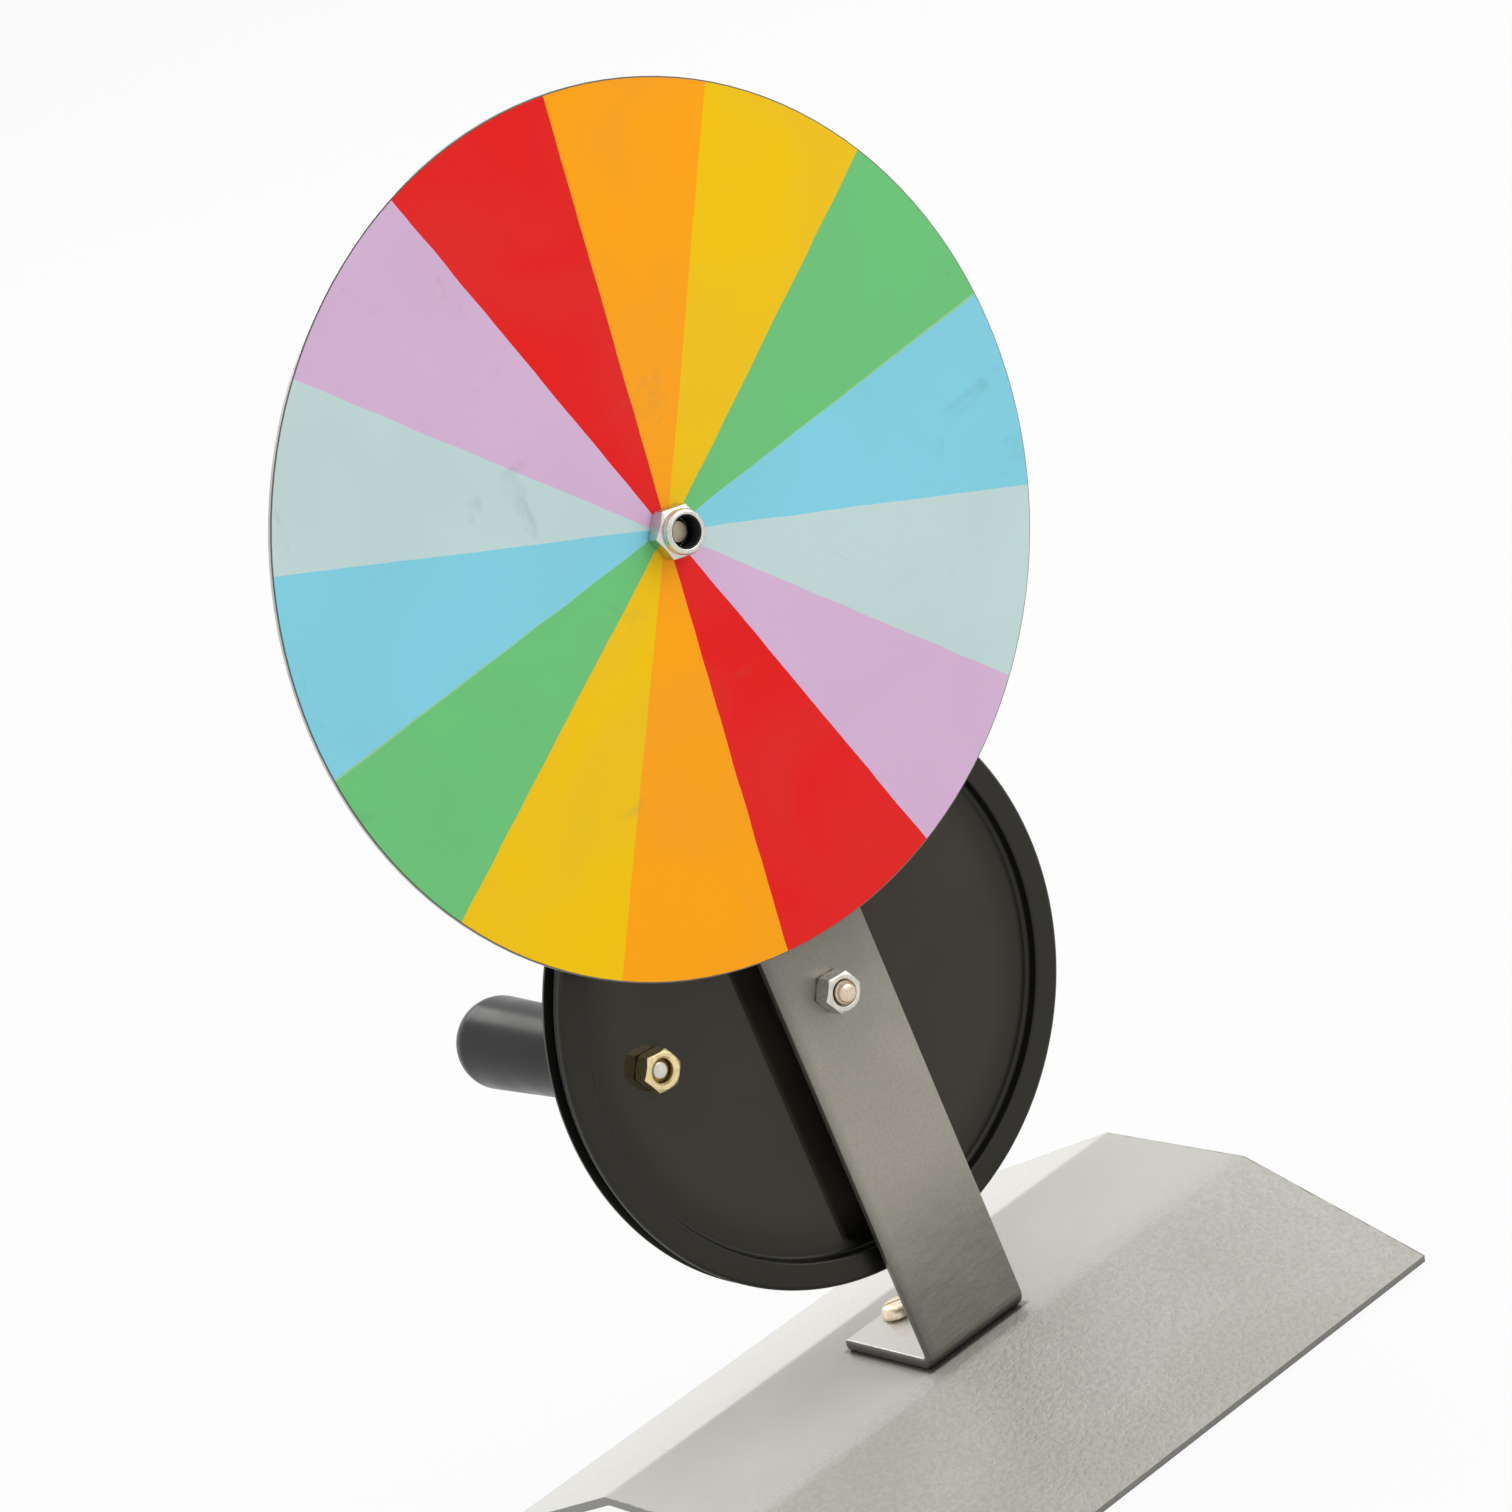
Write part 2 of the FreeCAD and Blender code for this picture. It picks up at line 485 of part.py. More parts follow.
def crank():
    """Round-headed bolt on the wheel, locked by two thin nuts, with a grip that turns on it."""
    x, z = CRANK_X, f"(axle_height + {CRANK_Z})"
    seat = f"({GRIP_BACK} - grip_well + end_float)"
    bolt = new_body("crank_bolt")
    tip = f"({seat} - {WEB_FRONT} + lock_nut_height + crank_out)"
    turn(bolt, "Revolution", [
        ("0", "-crank_head_height"), ("crank_head_radius", "-crank_head_height"),
        ("crank_head_radius", "0"), ("crank_bolt_radius", "0"),
        ("crank_bolt_radius", f"{tip} - crank_chamfer"),
        ("crank_bolt_radius - crank_chamfer", tip), ("0", tip)])
    round_edges(bolt, "crank_head_round", lambda p, edge: near(p.z, "-crank_head_height")
                and edge.Length > value("crank_head_radius"))
    cut_slot(bolt, "crank_slot", "crank_slot_depth",
             "-crank_head_height", "2 * crank_head_radius", reverse=True)
    put(bolt, x, seat, z, FACING_FRONT)
    nut = hex_nut("crank_nut", "nut_flats", "lock_nut_height", "crank_bolt_radius")
    put(nut, x, WEB_FRONT, z, FACING_FRONT * CRANK_NUT_TURN)
    lock = hex_nut("crank_lock_nut", "nut_flats", "lock_nut_height", "crank_bolt_radius")
    put(lock, x, f"{WHEEL_BACK} + washer_thick + lock_nut_height", z, FACING_FRONT)
    washers = []
    for name, back in (("boss_washer", f"{WHEEL_BACK} + washer_thick"),
                       ("grip_washer", f"{GRIP_FRONT} - end_float")):
        washer = ring(name, "crank_bolt_radius + hole_gap", "washer_radius", "washer_thick")
        washers.append(put(washer, x, back, z, FACING_FRONT))
    group("crank_washers", washers)
    grip = new_body("handle_grip")
    turn(grip, "Revolution", [("0", "0"), ("grip_front_radius", "0"),
                              ("grip_radius", "grip_length - grip_dome"), ("grip_radius", "grip_length"),
                              ("0", "grip_length")])
    round_edges(grip, "grip_dome", lambda p, edge: near(p.z, "grip_length")
                and edge.Length > value("grip_radius"))
    round_edges(grip, "grip_edge", lambda p, edge: near(p.z, "0")
                and edge.Length > value("grip_radius"))
    well = "(grip_length - grip_well)"
    bore, wide = "crank_bolt_radius + running_gap", "crank_head_radius + grip_well_gap"
    turn(grip, "Groove", [("0", "-grip_edge"), (bore, "-grip_edge"), (bore, well), (wide, well),
                          (wide, "grip_length + grip_edge"), ("0", "grip_length + grip_edge")])
    put(grip, x, GRIP_FRONT, z, FACING_BACK)


def spindle():
    """Turned spindle in a flanged bush, with the small pulley behind the bracket."""
    bush = new_body("spindle_bush")
    tail = f"({PULLEY_FRONT} - end_float - bracket_front)"
    bore = "spindle_radius + running_gap"
    turn(bush, "Revolution", [(bore, f"-{tail}"), ("spindle_bush_radius", f"-{tail}"),
                              ("spindle_bush_radius", "0"), ("bush_flange_radius", "0"),
                              ("bush_flange_radius", "bush_flange_thick"), (bore, "bush_flange_thick")])
    put(bush, "0", "bracket_front", "spindle_height", FACING_FRONT)
    shaft = new_body("spindle")
    tip = f"({SPINDLE_BACK} - {FACE_FRONT} + hub_nut_height - spindle_recess)"
    cut = "spindle_chamfer"
    turn(shaft, "Revolution", [
        ("0", "0"), (f"spindle_radius - {cut}", "0"), ("spindle_radius", cut),
        ("spindle_radius", f"{tip} - {cut}"), (f"spindle_radius - {cut}", tip), ("0", tip)])
    put(shaft, "0", SPINDLE_BACK, "spindle_height", FACING_FRONT)
    pulley = new_body("small_pulley")
    rim, half = "(pulley_pitch + belt_radius + pulley_flange)", "pulley_width / 2"
    hub_end = f"-({half} + pulley_hub_length)"
    turn(pulley, "Revolution", [
        ("spindle_radius", half), (rim, half), *groove("pulley_pitch", rim), (rim, f"-{half}"),
        ("pulley_hub_radius", f"-{half}"), ("pulley_hub_radius", hub_end), ("spindle_radius", hub_end)])
    screw_hole = new_sketch(pulley, "XZ_Plane")
    screw_height = f"-({half} + pulley_hub_length / 2)"
    circle(screw_hole, "0", screw_height, "pulley_screw_radius")
    extrude(pulley, "Pocket", screw_hole, "pulley_hub_radius + end_float")
    put(pulley, "0", BELT_PLANE, "spindle_height", FACING_FRONT)
    screw = new_body("pulley_screw")
    turn(screw, "Revolution", [("0", "0"), ("pulley_screw_radius", "0"),
                               ("pulley_screw_radius", "pulley_hub_radius - spindle_radius"),
                               ("0", "pulley_hub_radius - spindle_radius")])
    cut_slot(screw, "pulley_screw_slot", "pulley_screw_slot_depth",
             "pulley_hub_radius - spindle_radius", "2 * pulley_screw_radius")
    screw_y = f"{BELT_PLANE} + {half} + pulley_hub_length / 2"
    put(screw, "0", screw_y, "spindle_height + spindle_radius", UPRIGHT)


def disc():
    """Colour disc with the washers and nuts that hold it on the spindle."""
    hole = "spindle_radius + disc_hole_gap"
    washer = ring("spindle_washer", hole, "spindle_washer_radius", "spindle_washer_thick")
    put(washer, "0", SPINDLE_WASHER_BACK, "spindle_height", FACING_FRONT)
    nut = hex_nut("backing_nut", "hub_nut_flats", "backing_nut_height", "spindle_radius")
    put(nut, "0", BACKING_NUT_BACK, "spindle_height", FACING_FRONT)
    wide = ring("disc_washer", hole, "disc_washer_radius", "disc_washer_thick")
    put(wide, "0", DISC_WASHER_BACK, "spindle_height", FACING_FRONT)
    plate = ring("disc_plate", hole, "disc_radius", "disc_thick")
    put(plate, "0", DISC_BACK, "spindle_height", FACING_FRONT)
    face = ring("disc_face", hole, "disc_radius - face_margin", "face_thick")
    put(face, "0", FACE_BACK, "spindle_height", FACING_FRONT)
    hub = new_body("hub_nut")
    sketch = new_sketch(hub, "XY_Plane")
    polygon(sketch, hexagon("hub_nut_flats"))
    shoulder = "(hub_nut_height - hub_nut_collar)"
    extrude(hub, "Pad", sketch, shoulder)
    chamfer_hexagon(hub, "hub_nut_flats", shoulder, "-")
    chamfer_hexagon(hub, "hub_nut_flats", "0", "+")
    inner = "spindle_radius + nylon_wall"
    turn(hub, "Revolution", [("0", shoulder), ("hub_collar_radius", shoulder),
                             ("hub_collar_radius", "hub_nut_height"), ("0", "hub_nut_height")])
    round_edges(hub, "hub_collar_round", lambda p, edge: near(p.z, "hub_nut_height"))
    turn(hub, "Groove", [("0", "-thread_gap"), ("spindle_radius + thread_gap", "-thread_gap"),
                         ("spindle_radius + thread_gap", shoulder), (inner, shoulder),
                         (inner, "hub_nut_height + thread_gap"), ("0", "hub_nut_height + thread_gap")])
    put(hub, "0", FACE_FRONT, "spindle_height", FACING_FRONT * HUB_NUT_TURN)
    insert = ring("nylon_ring", "spindle_radius + thread_gap", inner, "nylon_height")
    put(insert, "0", f"{FACE_FRONT} - {shoulder}", "spindle_height", FACING_FRONT)


def drive_belt():
    """Round belt: an arc round each groove and a straight run on each side."""
    body = new_body("drive_belt")
    path = new_sketch(body, "XZ_Plane")
    big, small = value("wheel_pitch"), value("pulley_pitch")
    rise = value("spindle_height - axle_height")
    lift = (big - small) / rise
    side = (1 - lift ** 2) ** 0.5
    low, high = Vector(0, 0, 0), Vector(0, rise, 0)
    bottom = Vector(0, -big, 0)
    right, left = Vector(side, lift, 0), Vector(-side, lift, 0)
    crown = high + Vector(0, small, 0)
    east = (right + bottom / big).normalize() * big
    west = Vector(-east.x, east.y, 0)
    right_arc = path.addGeometry(Part.Arc(bottom, east, low + right * big), False)
    right_run = path.addGeometry(Part.LineSegment(low + right * big, high + right * small), False)
    top_arc = path.addGeometry(Part.Arc(high + right * small, crown, high + left * small), False)
    left_run = path.addGeometry(Part.LineSegment(high + left * small, low + left * big), False)
    left_arc = path.addGeometry(Part.Arc(low + left * big, west, bottom), False)
    path.addConstraint([
        Sketcher.Constraint("Coincident", right_arc, 3, -1, 1),
        Sketcher.Constraint("Coincident", left_arc, 3, -1, 1),
        Sketcher.Constraint("PointOnObject", top_arc, 3, -2),
        Sketcher.Constraint("PointOnObject", right_arc, 1, -2),
        Sketcher.Constraint("Coincident", left_arc, 2, right_arc, 1),
        Sketcher.Constraint("Tangent", right_arc, 2, right_run, 1),
        Sketcher.Constraint("Tangent", right_run, 2, top_arc, 1),
        Sketcher.Constraint("Tangent", top_arc, 2, left_run, 1),
        Sketcher.Constraint("Tangent", left_run, 2, left_arc, 1)])
    tie(path, "Radius", (right_arc,), "wheel_pitch")
    tie(path, "Radius", (top_arc,), "pulley_pitch")
    tie(path, "DistanceY", (-1, 1, top_arc, 3), "spindle_height - axle_height")
    section = new_sketch(body, "YZ_Plane")
    circle(section, "0", "-wheel_pitch", "belt_radius")
    pipe = body.newObject("PartDesign::AdditivePipe", "Belt")
    pipe.Profile = section
    pipe.Spine = (path, [f"Edge{i}" for i in range(1, 6)])
    doc.recompute()
    return put(body, "0", BELT_PLANE, "axle_height", UPRIGHT)


base_plate()
upright_bracket()
foot_fixing()
axle()
drive_wheel()
crank()
spindle()
disc()
drive_belt()
doc.recompute()

NODES = (
    "base_plate", "upright_bracket", "foot_screw", "foot_washer", "foot_nut",
    "axle_bolt", "axle_nut", "axle_lock_nut", "axle_washers", "spindle_bush", "drive_belt",
    "drive_wheel", "wheel_bush", "crank_bolt", "crank_nut", "crank_lock_nut", "crank_washers",
    "handle_grip",
    "spindle", "small_pulley", "pulley_screw", "spindle_washer", "backing_nut", "disc_washer",
    "disc_plate", "disc_face", "hub_nut", "nylon_ring",
)
for thing in doc.Objects:
    if "Invalid" in thing.State or "Error" in thing.State:
        raise RuntimeError(f"{thing.Label} failed: {thing.State}")
os.makedirs("parts", exist_ok=True)
for node in NODES:
    shape = doc.getObjectsByLabel(node)[0].Shape
    if shape.isNull() or not shape.isValid() or not shape.Solids:
        raise RuntimeError(f"{node} has no valid solid")
    print(f"{node}: {len(shape.Solids)} solid, {shape.Volume:.1f} mm3")
for node in NODES:
    doc.getObjectsByLabel(node)[0].Shape.exportStep(f"parts/{node}.step")
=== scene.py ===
"""Looks of the hand-driven colour disc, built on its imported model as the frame."""
import math

import bpy
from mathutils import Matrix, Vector


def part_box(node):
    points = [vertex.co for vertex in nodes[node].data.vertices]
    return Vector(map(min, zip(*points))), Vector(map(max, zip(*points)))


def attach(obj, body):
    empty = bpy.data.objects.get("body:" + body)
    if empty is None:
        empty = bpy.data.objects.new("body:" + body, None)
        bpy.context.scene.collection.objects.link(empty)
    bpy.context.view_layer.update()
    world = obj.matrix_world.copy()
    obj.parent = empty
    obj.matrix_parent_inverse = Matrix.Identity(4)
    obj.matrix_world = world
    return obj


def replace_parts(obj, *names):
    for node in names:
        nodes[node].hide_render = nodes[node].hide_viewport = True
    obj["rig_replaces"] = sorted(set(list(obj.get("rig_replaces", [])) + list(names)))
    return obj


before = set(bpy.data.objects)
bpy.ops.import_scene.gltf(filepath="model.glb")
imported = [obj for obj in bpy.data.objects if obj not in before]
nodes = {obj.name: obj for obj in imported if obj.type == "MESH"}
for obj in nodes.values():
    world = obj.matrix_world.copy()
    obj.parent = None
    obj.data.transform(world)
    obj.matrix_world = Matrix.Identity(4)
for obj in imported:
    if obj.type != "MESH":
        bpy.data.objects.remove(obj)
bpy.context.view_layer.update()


# Base: mild steel sheet, folded twice and powder-coated light grey. The coat has an orange-peel
# grain, stronger on the front slope. The sheared edges stay dark. A dark seam round the foot is
# painted shade, and the back slope is painted a paler cream as a painted reflection.

MM = 0.001


def tint(red, green, blue):
    """A colour as a paint chart gives it, from 0 to 255, as the shader wants it."""
    parts = [part / 255 for part in (red, green, blue)]
    return tuple(p / 12.92 if p <= 0.04045 else ((p + 0.055) / 1.055) ** 2.4 for p in parts) + (1.0,)


def add(tree, kind, values=None, **settings):
    """Put a node in a tree with its settings; a value is a number, a colour or the socket that feeds it."""
    node = tree.nodes.new("ShaderNode" + kind)
    for setting, value in settings.items():
        setattr(node, setting, value)
    for socket, value in (values or {}).items():
        if isinstance(value, bpy.types.NodeSocket):
            tree.links.new(value, node.inputs[socket])
        else:
            node.inputs[socket].default_value = value
    return node


def reckon(tree, operation, *values):
    """One step of arithmetic on numbers in a tree."""
    return add(tree, "Math", dict(enumerate(values)), operation=operation).outputs[0]


def ranged(tree, value, low, high, first=0.0, last=1.0):
    """Stretch a number from one range to another, smoothly and without overshoot."""
    return add(tree, "MapRange", {"Value": value, "From Min": low, "From Max": high, "To Min": first,
                                  "To Max": last}, interpolation_type="SMOOTHSTEP").outputs[0]


def mixed(tree, amount, first, second):
    """Mix two colours by an amount."""
    return add(tree, "Mix", {0: amount, 6: first, 7: second}, data_type="RGBA").outputs[2]


def parts_of(tree, vector):
    """The X, Y and Z of a place or a direction."""
    return add(tree, "SeparateXYZ", {0: vector}).outputs


def facing_of(tree):
    """Which way the surface faces, as X, Y and Z."""
    return parts_of(tree, add(tree, "TexCoord").outputs["Normal"])


def from_ends(tree, value, low, high):
    """How far a number is from the nearer of two ends."""
    return reckon(tree, "MINIMUM", reckon(tree, "SUBTRACT", value, low),
                  reckon(tree, "SUBTRACT", high, value))


def beyond(tree, value, middle, half):
    """How far a number is past a stretch about a middle, and zero within it."""
    off = reckon(tree, "ABSOLUTE", reckon(tree, "SUBTRACT", value, middle))
    return reckon(tree, "MAXIMUM", reckon(tree, "SUBTRACT", off, half), 0.0)


def span(tree, along, across):
    """The straight distance that two distances at right angles make."""
    return reckon(tree, "SQRT", reckon(tree, "ADD", reckon(tree, "MULTIPLY", along, along),
                                       reckon(tree, "MULTIPLY", across, across)))


def new_effect(name, inputs, outputs):
    """Start an effect that several finishes share."""
    effect = bpy.data.node_groups.new(name, "ShaderNodeTree")
    for socket, kind, value in inputs:
        made = effect.interface.new_socket(socket, in_out="INPUT", socket_type="NodeSocket" + kind)
        if value is not None:
            made.default_value = value
    for socket in outputs:
        effect.interface.new_socket(socket, in_out="OUTPUT", socket_type="NodeSocketFloat")
    return effect, effect.nodes.new("NodeGroupInput").outputs, effect.nodes.new("NodeGroupOutput").inputs


def use_effect(tree, effect, place, **values):
    """Put an effect in a finish, read at a place, with values of its own."""
    return add(tree, "Group", {"Place": place, **values}, node_tree=effect).outputs


def place_from(tree, centre):
    """The place on a piece, counted from a centre in millimetres."""
    place = add(tree, "TexCoord").outputs["Object"]
    return add(tree, "Mapping", {"Vector": place, "Location": [-c * MM for c in centre]}).outputs[0]


def new_finish(name, plain, centre=(0, 0, 0)):
    """Start a finish; plain values go on the shader itself. Gives its tree, shader and place on the piece."""
    finish = bpy.data.materials.new(name)
    finish.use_nodes = True
    tree = finish.node_tree
    shader = tree.nodes["Principled BSDF"]
    for socket, value in plain.items():
        shader.inputs[socket].default_value = value
    return finish, tree, shader, place_from(tree, centre)


def feed(tree, shader, colour, roughness):
    """Feed a finish its colour and its roughness."""
    tree.links.new(colour, shader.inputs["Base Color"])
    tree.links.new(roughness, shader.inputs["Roughness"])


def raise_grain(tree, shader, height, distance):
    """Feed a height into the finish's relief."""
    bump = add(tree, "Bump", {"Height": height, "Distance": distance, "Strength": 1.0})
    tree.links.new(bump.outputs[0], shader.inputs["Normal"])


def coat(piece, finish):
    """Give a piece its finish."""
    if piece.material_slots:
        piece.material_slots[0].material = finish
    else:
        piece.data.materials.append(finish)


fine_grain, given, out = new_effect(
    "fine_grain", [("Place", "Vector", None), ("Scale", "Float", 1000.0)], ["Height", "Speckle"])
coarse = add(fine_grain, "TexNoise", {"Vector": given["Place"], "Scale": given["Scale"], "Detail": 3.0,
                                      "Roughness": 0.55}).outputs[0]
fine = add(fine_grain, "TexNoise", {"Vector": given["Place"], "Scale": reckon(
    fine_grain, "MULTIPLY", given["Scale"], 3.3), "Detail": 2.0}).outputs[0]
fine_grain.links.new(reckon(fine_grain, "MULTIPLY_ADD", fine, 0.35, coarse), out["Height"])
fine_grain.links.new(ranged(fine_grain, coarse, 0.36, 0.64), out["Speckle"])

soft_clouds, given, out = new_effect(
    "soft_clouds", [("Place", "Vector", None), ("Scale", "Float", 30.0)], ["Tone"])
cloud = add(soft_clouds, "TexNoise", {"Vector": given["Place"], "Scale": given["Scale"], "Detail": 2.0,
                                      "Distortion": 0.6}).outputs[0]
soft_clouds.links.new(ranged(soft_clouds, cloud, 0.3, 0.7), out["Tone"])

edge_rub, given, out = new_effect(
    "edge_rub", [("Place", "Vector", None), ("Distance", "Float", 0.0), ("Width", "Float", 0.001)], ["Rub"])
patchy = add(edge_rub, "TexNoise", {"Vector": given["Place"], "Scale": 260.0, "Detail": 4.0}).outputs[0]
reach = reckon(edge_rub, "MULTIPLY", given["Width"], ranged(edge_rub, patchy, 0.3, 0.75, 0.05, 1.6))
edge_rub.links.new(ranged(edge_rub, reckon(edge_rub, "DIVIDE", given["Distance"], reach), 1.0, 0.2),
                   out["Rub"])

BASE_GREY = tint(197, 196, 189)
BASE_GREY_DEEP = tint(187, 186, 178)
BASE_PIT = tint(146, 144, 136)
BASE_PAINTED_REFLECTION_CREAM = tint(233, 230, 220)
BASE_CUT = tint(104, 102, 95)
FOOT_SEAM_PAINTED_SHADE = tint(44, 42, 38)
FOOT_MIDDLE_X, FOOT_HALF_WIDTH = 0.0008, 0.0135
FOOT_MIDDLE_Y, FOOT_HALF_LENGTH = -0.005, 0.015
SLOPE_BEND, SLOPE_MIDDLE = -0.012, -0.034
BACK_BEND, BACK_SLOPE = 0.02, 0.027
base_low, base_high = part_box("base_plate")
base_paint, tree, shader, place = new_finish(
    "base_paint", {"Specular IOR Level": 0.5, "Coat Weight": 0.45, "Coat Roughness": 0.16})
at = parts_of(tree, place)
facing = facing_of(tree)
grain = use_effect(tree, fine_grain, place, Scale=850.0)
cloud = use_effect(tree, soft_clouds, place, Scale=22.0)["Tone"]
on_slope = ranged(tree, at["Y"], SLOPE_BEND, SLOPE_MIDDLE, 0.12, 1.0)
pitted = reckon(tree, "MULTIPLY", on_slope, ranged(tree, grain["Speckle"], 0.0, 1.0, 0.0, 0.2))
from_end = from_ends(tree, at["X"], base_low.x, base_high.x)
rub = use_effect(tree, edge_rub, place, Distance=from_end, Width=0.0004)["Rub"]
sheared = reckon(tree, "MAXIMUM", ranged(tree, reckon(tree, "ABSOLUTE", facing["X"]), 0.6, 0.8),
                 ranged(tree, reckon(tree, "ABSOLUTE", facing["Y"]), 0.6, 0.8))
bare = reckon(tree, "MAXIMUM", sheared, reckon(tree, "MULTIPLY", rub, 0.7))
from_foot = span(tree, beyond(tree, at["X"], FOOT_MIDDLE_X, FOOT_HALF_WIDTH),
                 beyond(tree, at["Y"], FOOT_MIDDLE_Y, FOOT_HALF_LENGTH))
colour = mixed(tree, cloud, BASE_GREY_DEEP, BASE_GREY)
colour = mixed(tree, pitted, colour, BASE_PIT)
# Painted reflection: the back slope is painted a paler cream, as it would catch the bright room.
colour = mixed(tree, ranged(tree, at["Y"], BACK_BEND, BACK_SLOPE, 0.0, 0.7), colour, BASE_PAINTED_REFLECTION_CREAM)
colour = mixed(tree, bare, colour, BASE_CUT)
# Painted shade: a dark seam on the base round the bracket's foot, where the bend meets it.
colour = mixed(tree, ranged(tree, from_foot, 0.0002, 0.0016, 0.85, 0.0), colour, FOOT_SEAM_PAINTED_SHADE)
feed(tree, shader, colour, ranged(tree, cloud, 0.0, 1.0, 0.22, 0.28))
raise_grain(tree, shader, reckon(tree, "MULTIPLY", grain["Height"], on_slope), 0.0006)
coat(nodes["base_plate"], base_paint)


# Upright bracket: a length of flat steel bar, bent once at the bottom into a foot and sprayed grey.
# The thin coat has a fine grain and ripples near the bend. Painted shade darkens it towards the
# bottom, towards the top under the disc and along the left edge; upward faces are painted light.

drawn_lines, given, out = new_effect(
    "drawn_lines", [("Place", "Vector", None), ("Stretch", "Vector", (1.0, 1.0, 0.02)),
                    ("Scale", "Float", 2500.0)], ["Lines"])
pulled = add(drawn_lines, "VectorMath", {0: given["Place"], 1: given["Stretch"]},
             operation="MULTIPLY").outputs[0]
lines = add(drawn_lines, "TexNoise", {"Vector": pulled, "Scale": given["Scale"], "Detail": 4.0,
                                      "Roughness": 0.7}).outputs[0]
drawn_lines.links.new(ranged(drawn_lines, lines, 0.25, 0.75), out["Lines"])

STRIP_GREY = tint(156, 152, 141)
STRIP_GREY_DEEP_AND_SHADED = tint(122, 120, 111)
STRIP_DULL_AND_SHADE = tint(78, 76, 69)
UPWARD_PAINTED_LIGHT = tint(206, 204, 197)
FOOT_EDGE_TOP, FOOT_EDGE_FULL = 0.0223, 0.0221
RIGHT_SIDE_UNSHADED = 0.004
strip_low, strip_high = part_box("upright_bracket")
strip_steel, tree, shader, place = new_finish(
    "strip_steel", {"Metallic": 0.75, "Coat Weight": 0.3, "Coat Roughness": 0.18})
at = parts_of(tree, place)
facing = facing_of(tree)
grain = use_effect(tree, fine_grain, place, Scale=1300.0)
cloud = use_effect(tree, soft_clouds, place, Scale=34.0)["Tone"]
ripples = use_effect(tree, drawn_lines, place, Stretch=(0.35, 1.0, 1.0), Scale=520.0)["Lines"]
near_bend = ranged(tree, at["Z"], 0.036, 0.062, 1.0, 0.12)
rippled = reckon(tree, "MULTIPLY", near_bend, ranged(tree, ripples, 0.0, 1.0, 0.0, 0.2))
# Painted shade: the face is darker towards the bottom and towards the top, under the disc; a random tone
# rides on it.
lit_band_and_tone = reckon(tree, "MULTIPLY", ranged(tree, at["Z"], 0.024, 0.07), ranged(tree, at["Z"], 0.122, 0.078))
lit_band_and_tone = reckon(tree, "ADD", lit_band_and_tone, ranged(tree, cloud, 0.0, 1.0, -0.12, 0.12))
# Painted shade: the front face darkens within a few millimetres of its left edge; the right edge is spared.
from_side = from_ends(tree, at["X"], strip_low.x, strip_high.x + RIGHT_SIDE_UNSHADED)
cut = reckon(tree, "MULTIPLY", ranged(tree, at["Z"], FOOT_EDGE_TOP, FOOT_EDGE_FULL),
             ranged(tree, facing["Z"], 0.93, 0.7))
colour = mixed(tree, lit_band_and_tone, STRIP_GREY_DEEP_AND_SHADED, STRIP_GREY)
colour = mixed(tree, rippled, colour, STRIP_DULL_AND_SHADE)
colour = mixed(tree, ranged(tree, grain["Speckle"], 0.0, 1.0, 0.0, 0.1), colour, STRIP_DULL_AND_SHADE)
colour = mixed(tree, ranged(tree, from_side, 0.0, 0.003, 0.35, 0.0), colour, STRIP_DULL_AND_SHADE)
# Painted light: upward faces, the top of the foot among them, are painted pale.
colour = mixed(tree, ranged(tree, facing["Z"], 0.9, 0.99), colour, UPWARD_PAINTED_LIGHT)
colour = mixed(tree, reckon(tree, "MULTIPLY", cut, 0.8), colour, STRIP_DULL_AND_SHADE)
feed(tree, shader, colour, ranged(tree, cloud, 0.0, 1.0, 0.32, 0.42))
waves = reckon(tree, "MULTIPLY", ripples, near_bend)
raise_grain(tree, shader, reckon(tree, "MULTIPLY_ADD", waves, 1.5, grain["Height"]), 0.00004)
coat(nodes["upright_bracket"], strip_steel)


# Fixings of the foot: a round-headed slotted screw, yellow-passivated, and under the base
# a bright zinc washer and nut. The head is forged, and its slot is sawn across.

ACROSS = (0, 1, 0)
UPWARD = (0, 0, 1)
SHARP = 30


def arc(middle, place, radius, first, last, steps=6):
    """Stations of a rounding in a turned outline, from one angle to another in degrees, 0 being outwards."""
    turns = [math.radians(first + (last - first) * step / steps) for step in range(steps + 1)]
    return [(middle + radius * math.cos(t), place + radius * math.sin(t)) for t in turns]


def pick(*pieces):
    """Select these pieces alone, the first of them active."""
    bpy.ops.object.select_all(action="DESELECT")
    for piece in pieces:
        piece.select_set(True)
    bpy.context.view_layer.objects.active = pieces[0]


def settled(name):
    """Name the primitive just added, and put its place, turn and size into its mesh."""
    piece = bpy.context.object
    piece.name = name
    bpy.ops.object.transform_apply(location=True, rotation=True, scale=True)
    return piece


def turned_piece(name, axis, outline, sides=96, along=ACROSS):
    """Draw a ring out through (radius, place) stations in millimetres; a closed outline leaves a bore."""
    bored = outline[0] == outline[-1]
    along = Vector(along)
    stations = [(radius * MM, place * MM) for radius, place in outline]
    bpy.ops.object.select_all(action="DESELECT")
    bpy.ops.mesh.primitive_circle_add(
        vertices=sides, radius=stations[0][0], fill_type="NOTHING" if bored else "NGON",
        location=Vector(axis) * MM + along * stations[0][1], rotation=(math.pi / 2 * along.y, 0, 0))
    piece = settled(name)
    bpy.ops.object.mode_set(mode="EDIT")
    for (radius, here), (wider, there) in zip(stations, stations[1:]):
        bpy.ops.mesh.extrude_region_move(TRANSFORM_OT_translate={"value": along * (there - here)})
        bpy.ops.transform.resize(value=[1 if part else wider / radius for part in along],
                                 center_override=Vector(axis) * MM + along * there)
    bpy.ops.mesh.select_all(action="SELECT")
    bpy.ops.mesh.remove_doubles(threshold=1e-7)
    bpy.ops.mesh.normals_make_consistent(inside=False)
    bpy.ops.object.mode_set(mode="OBJECT")
    return piece


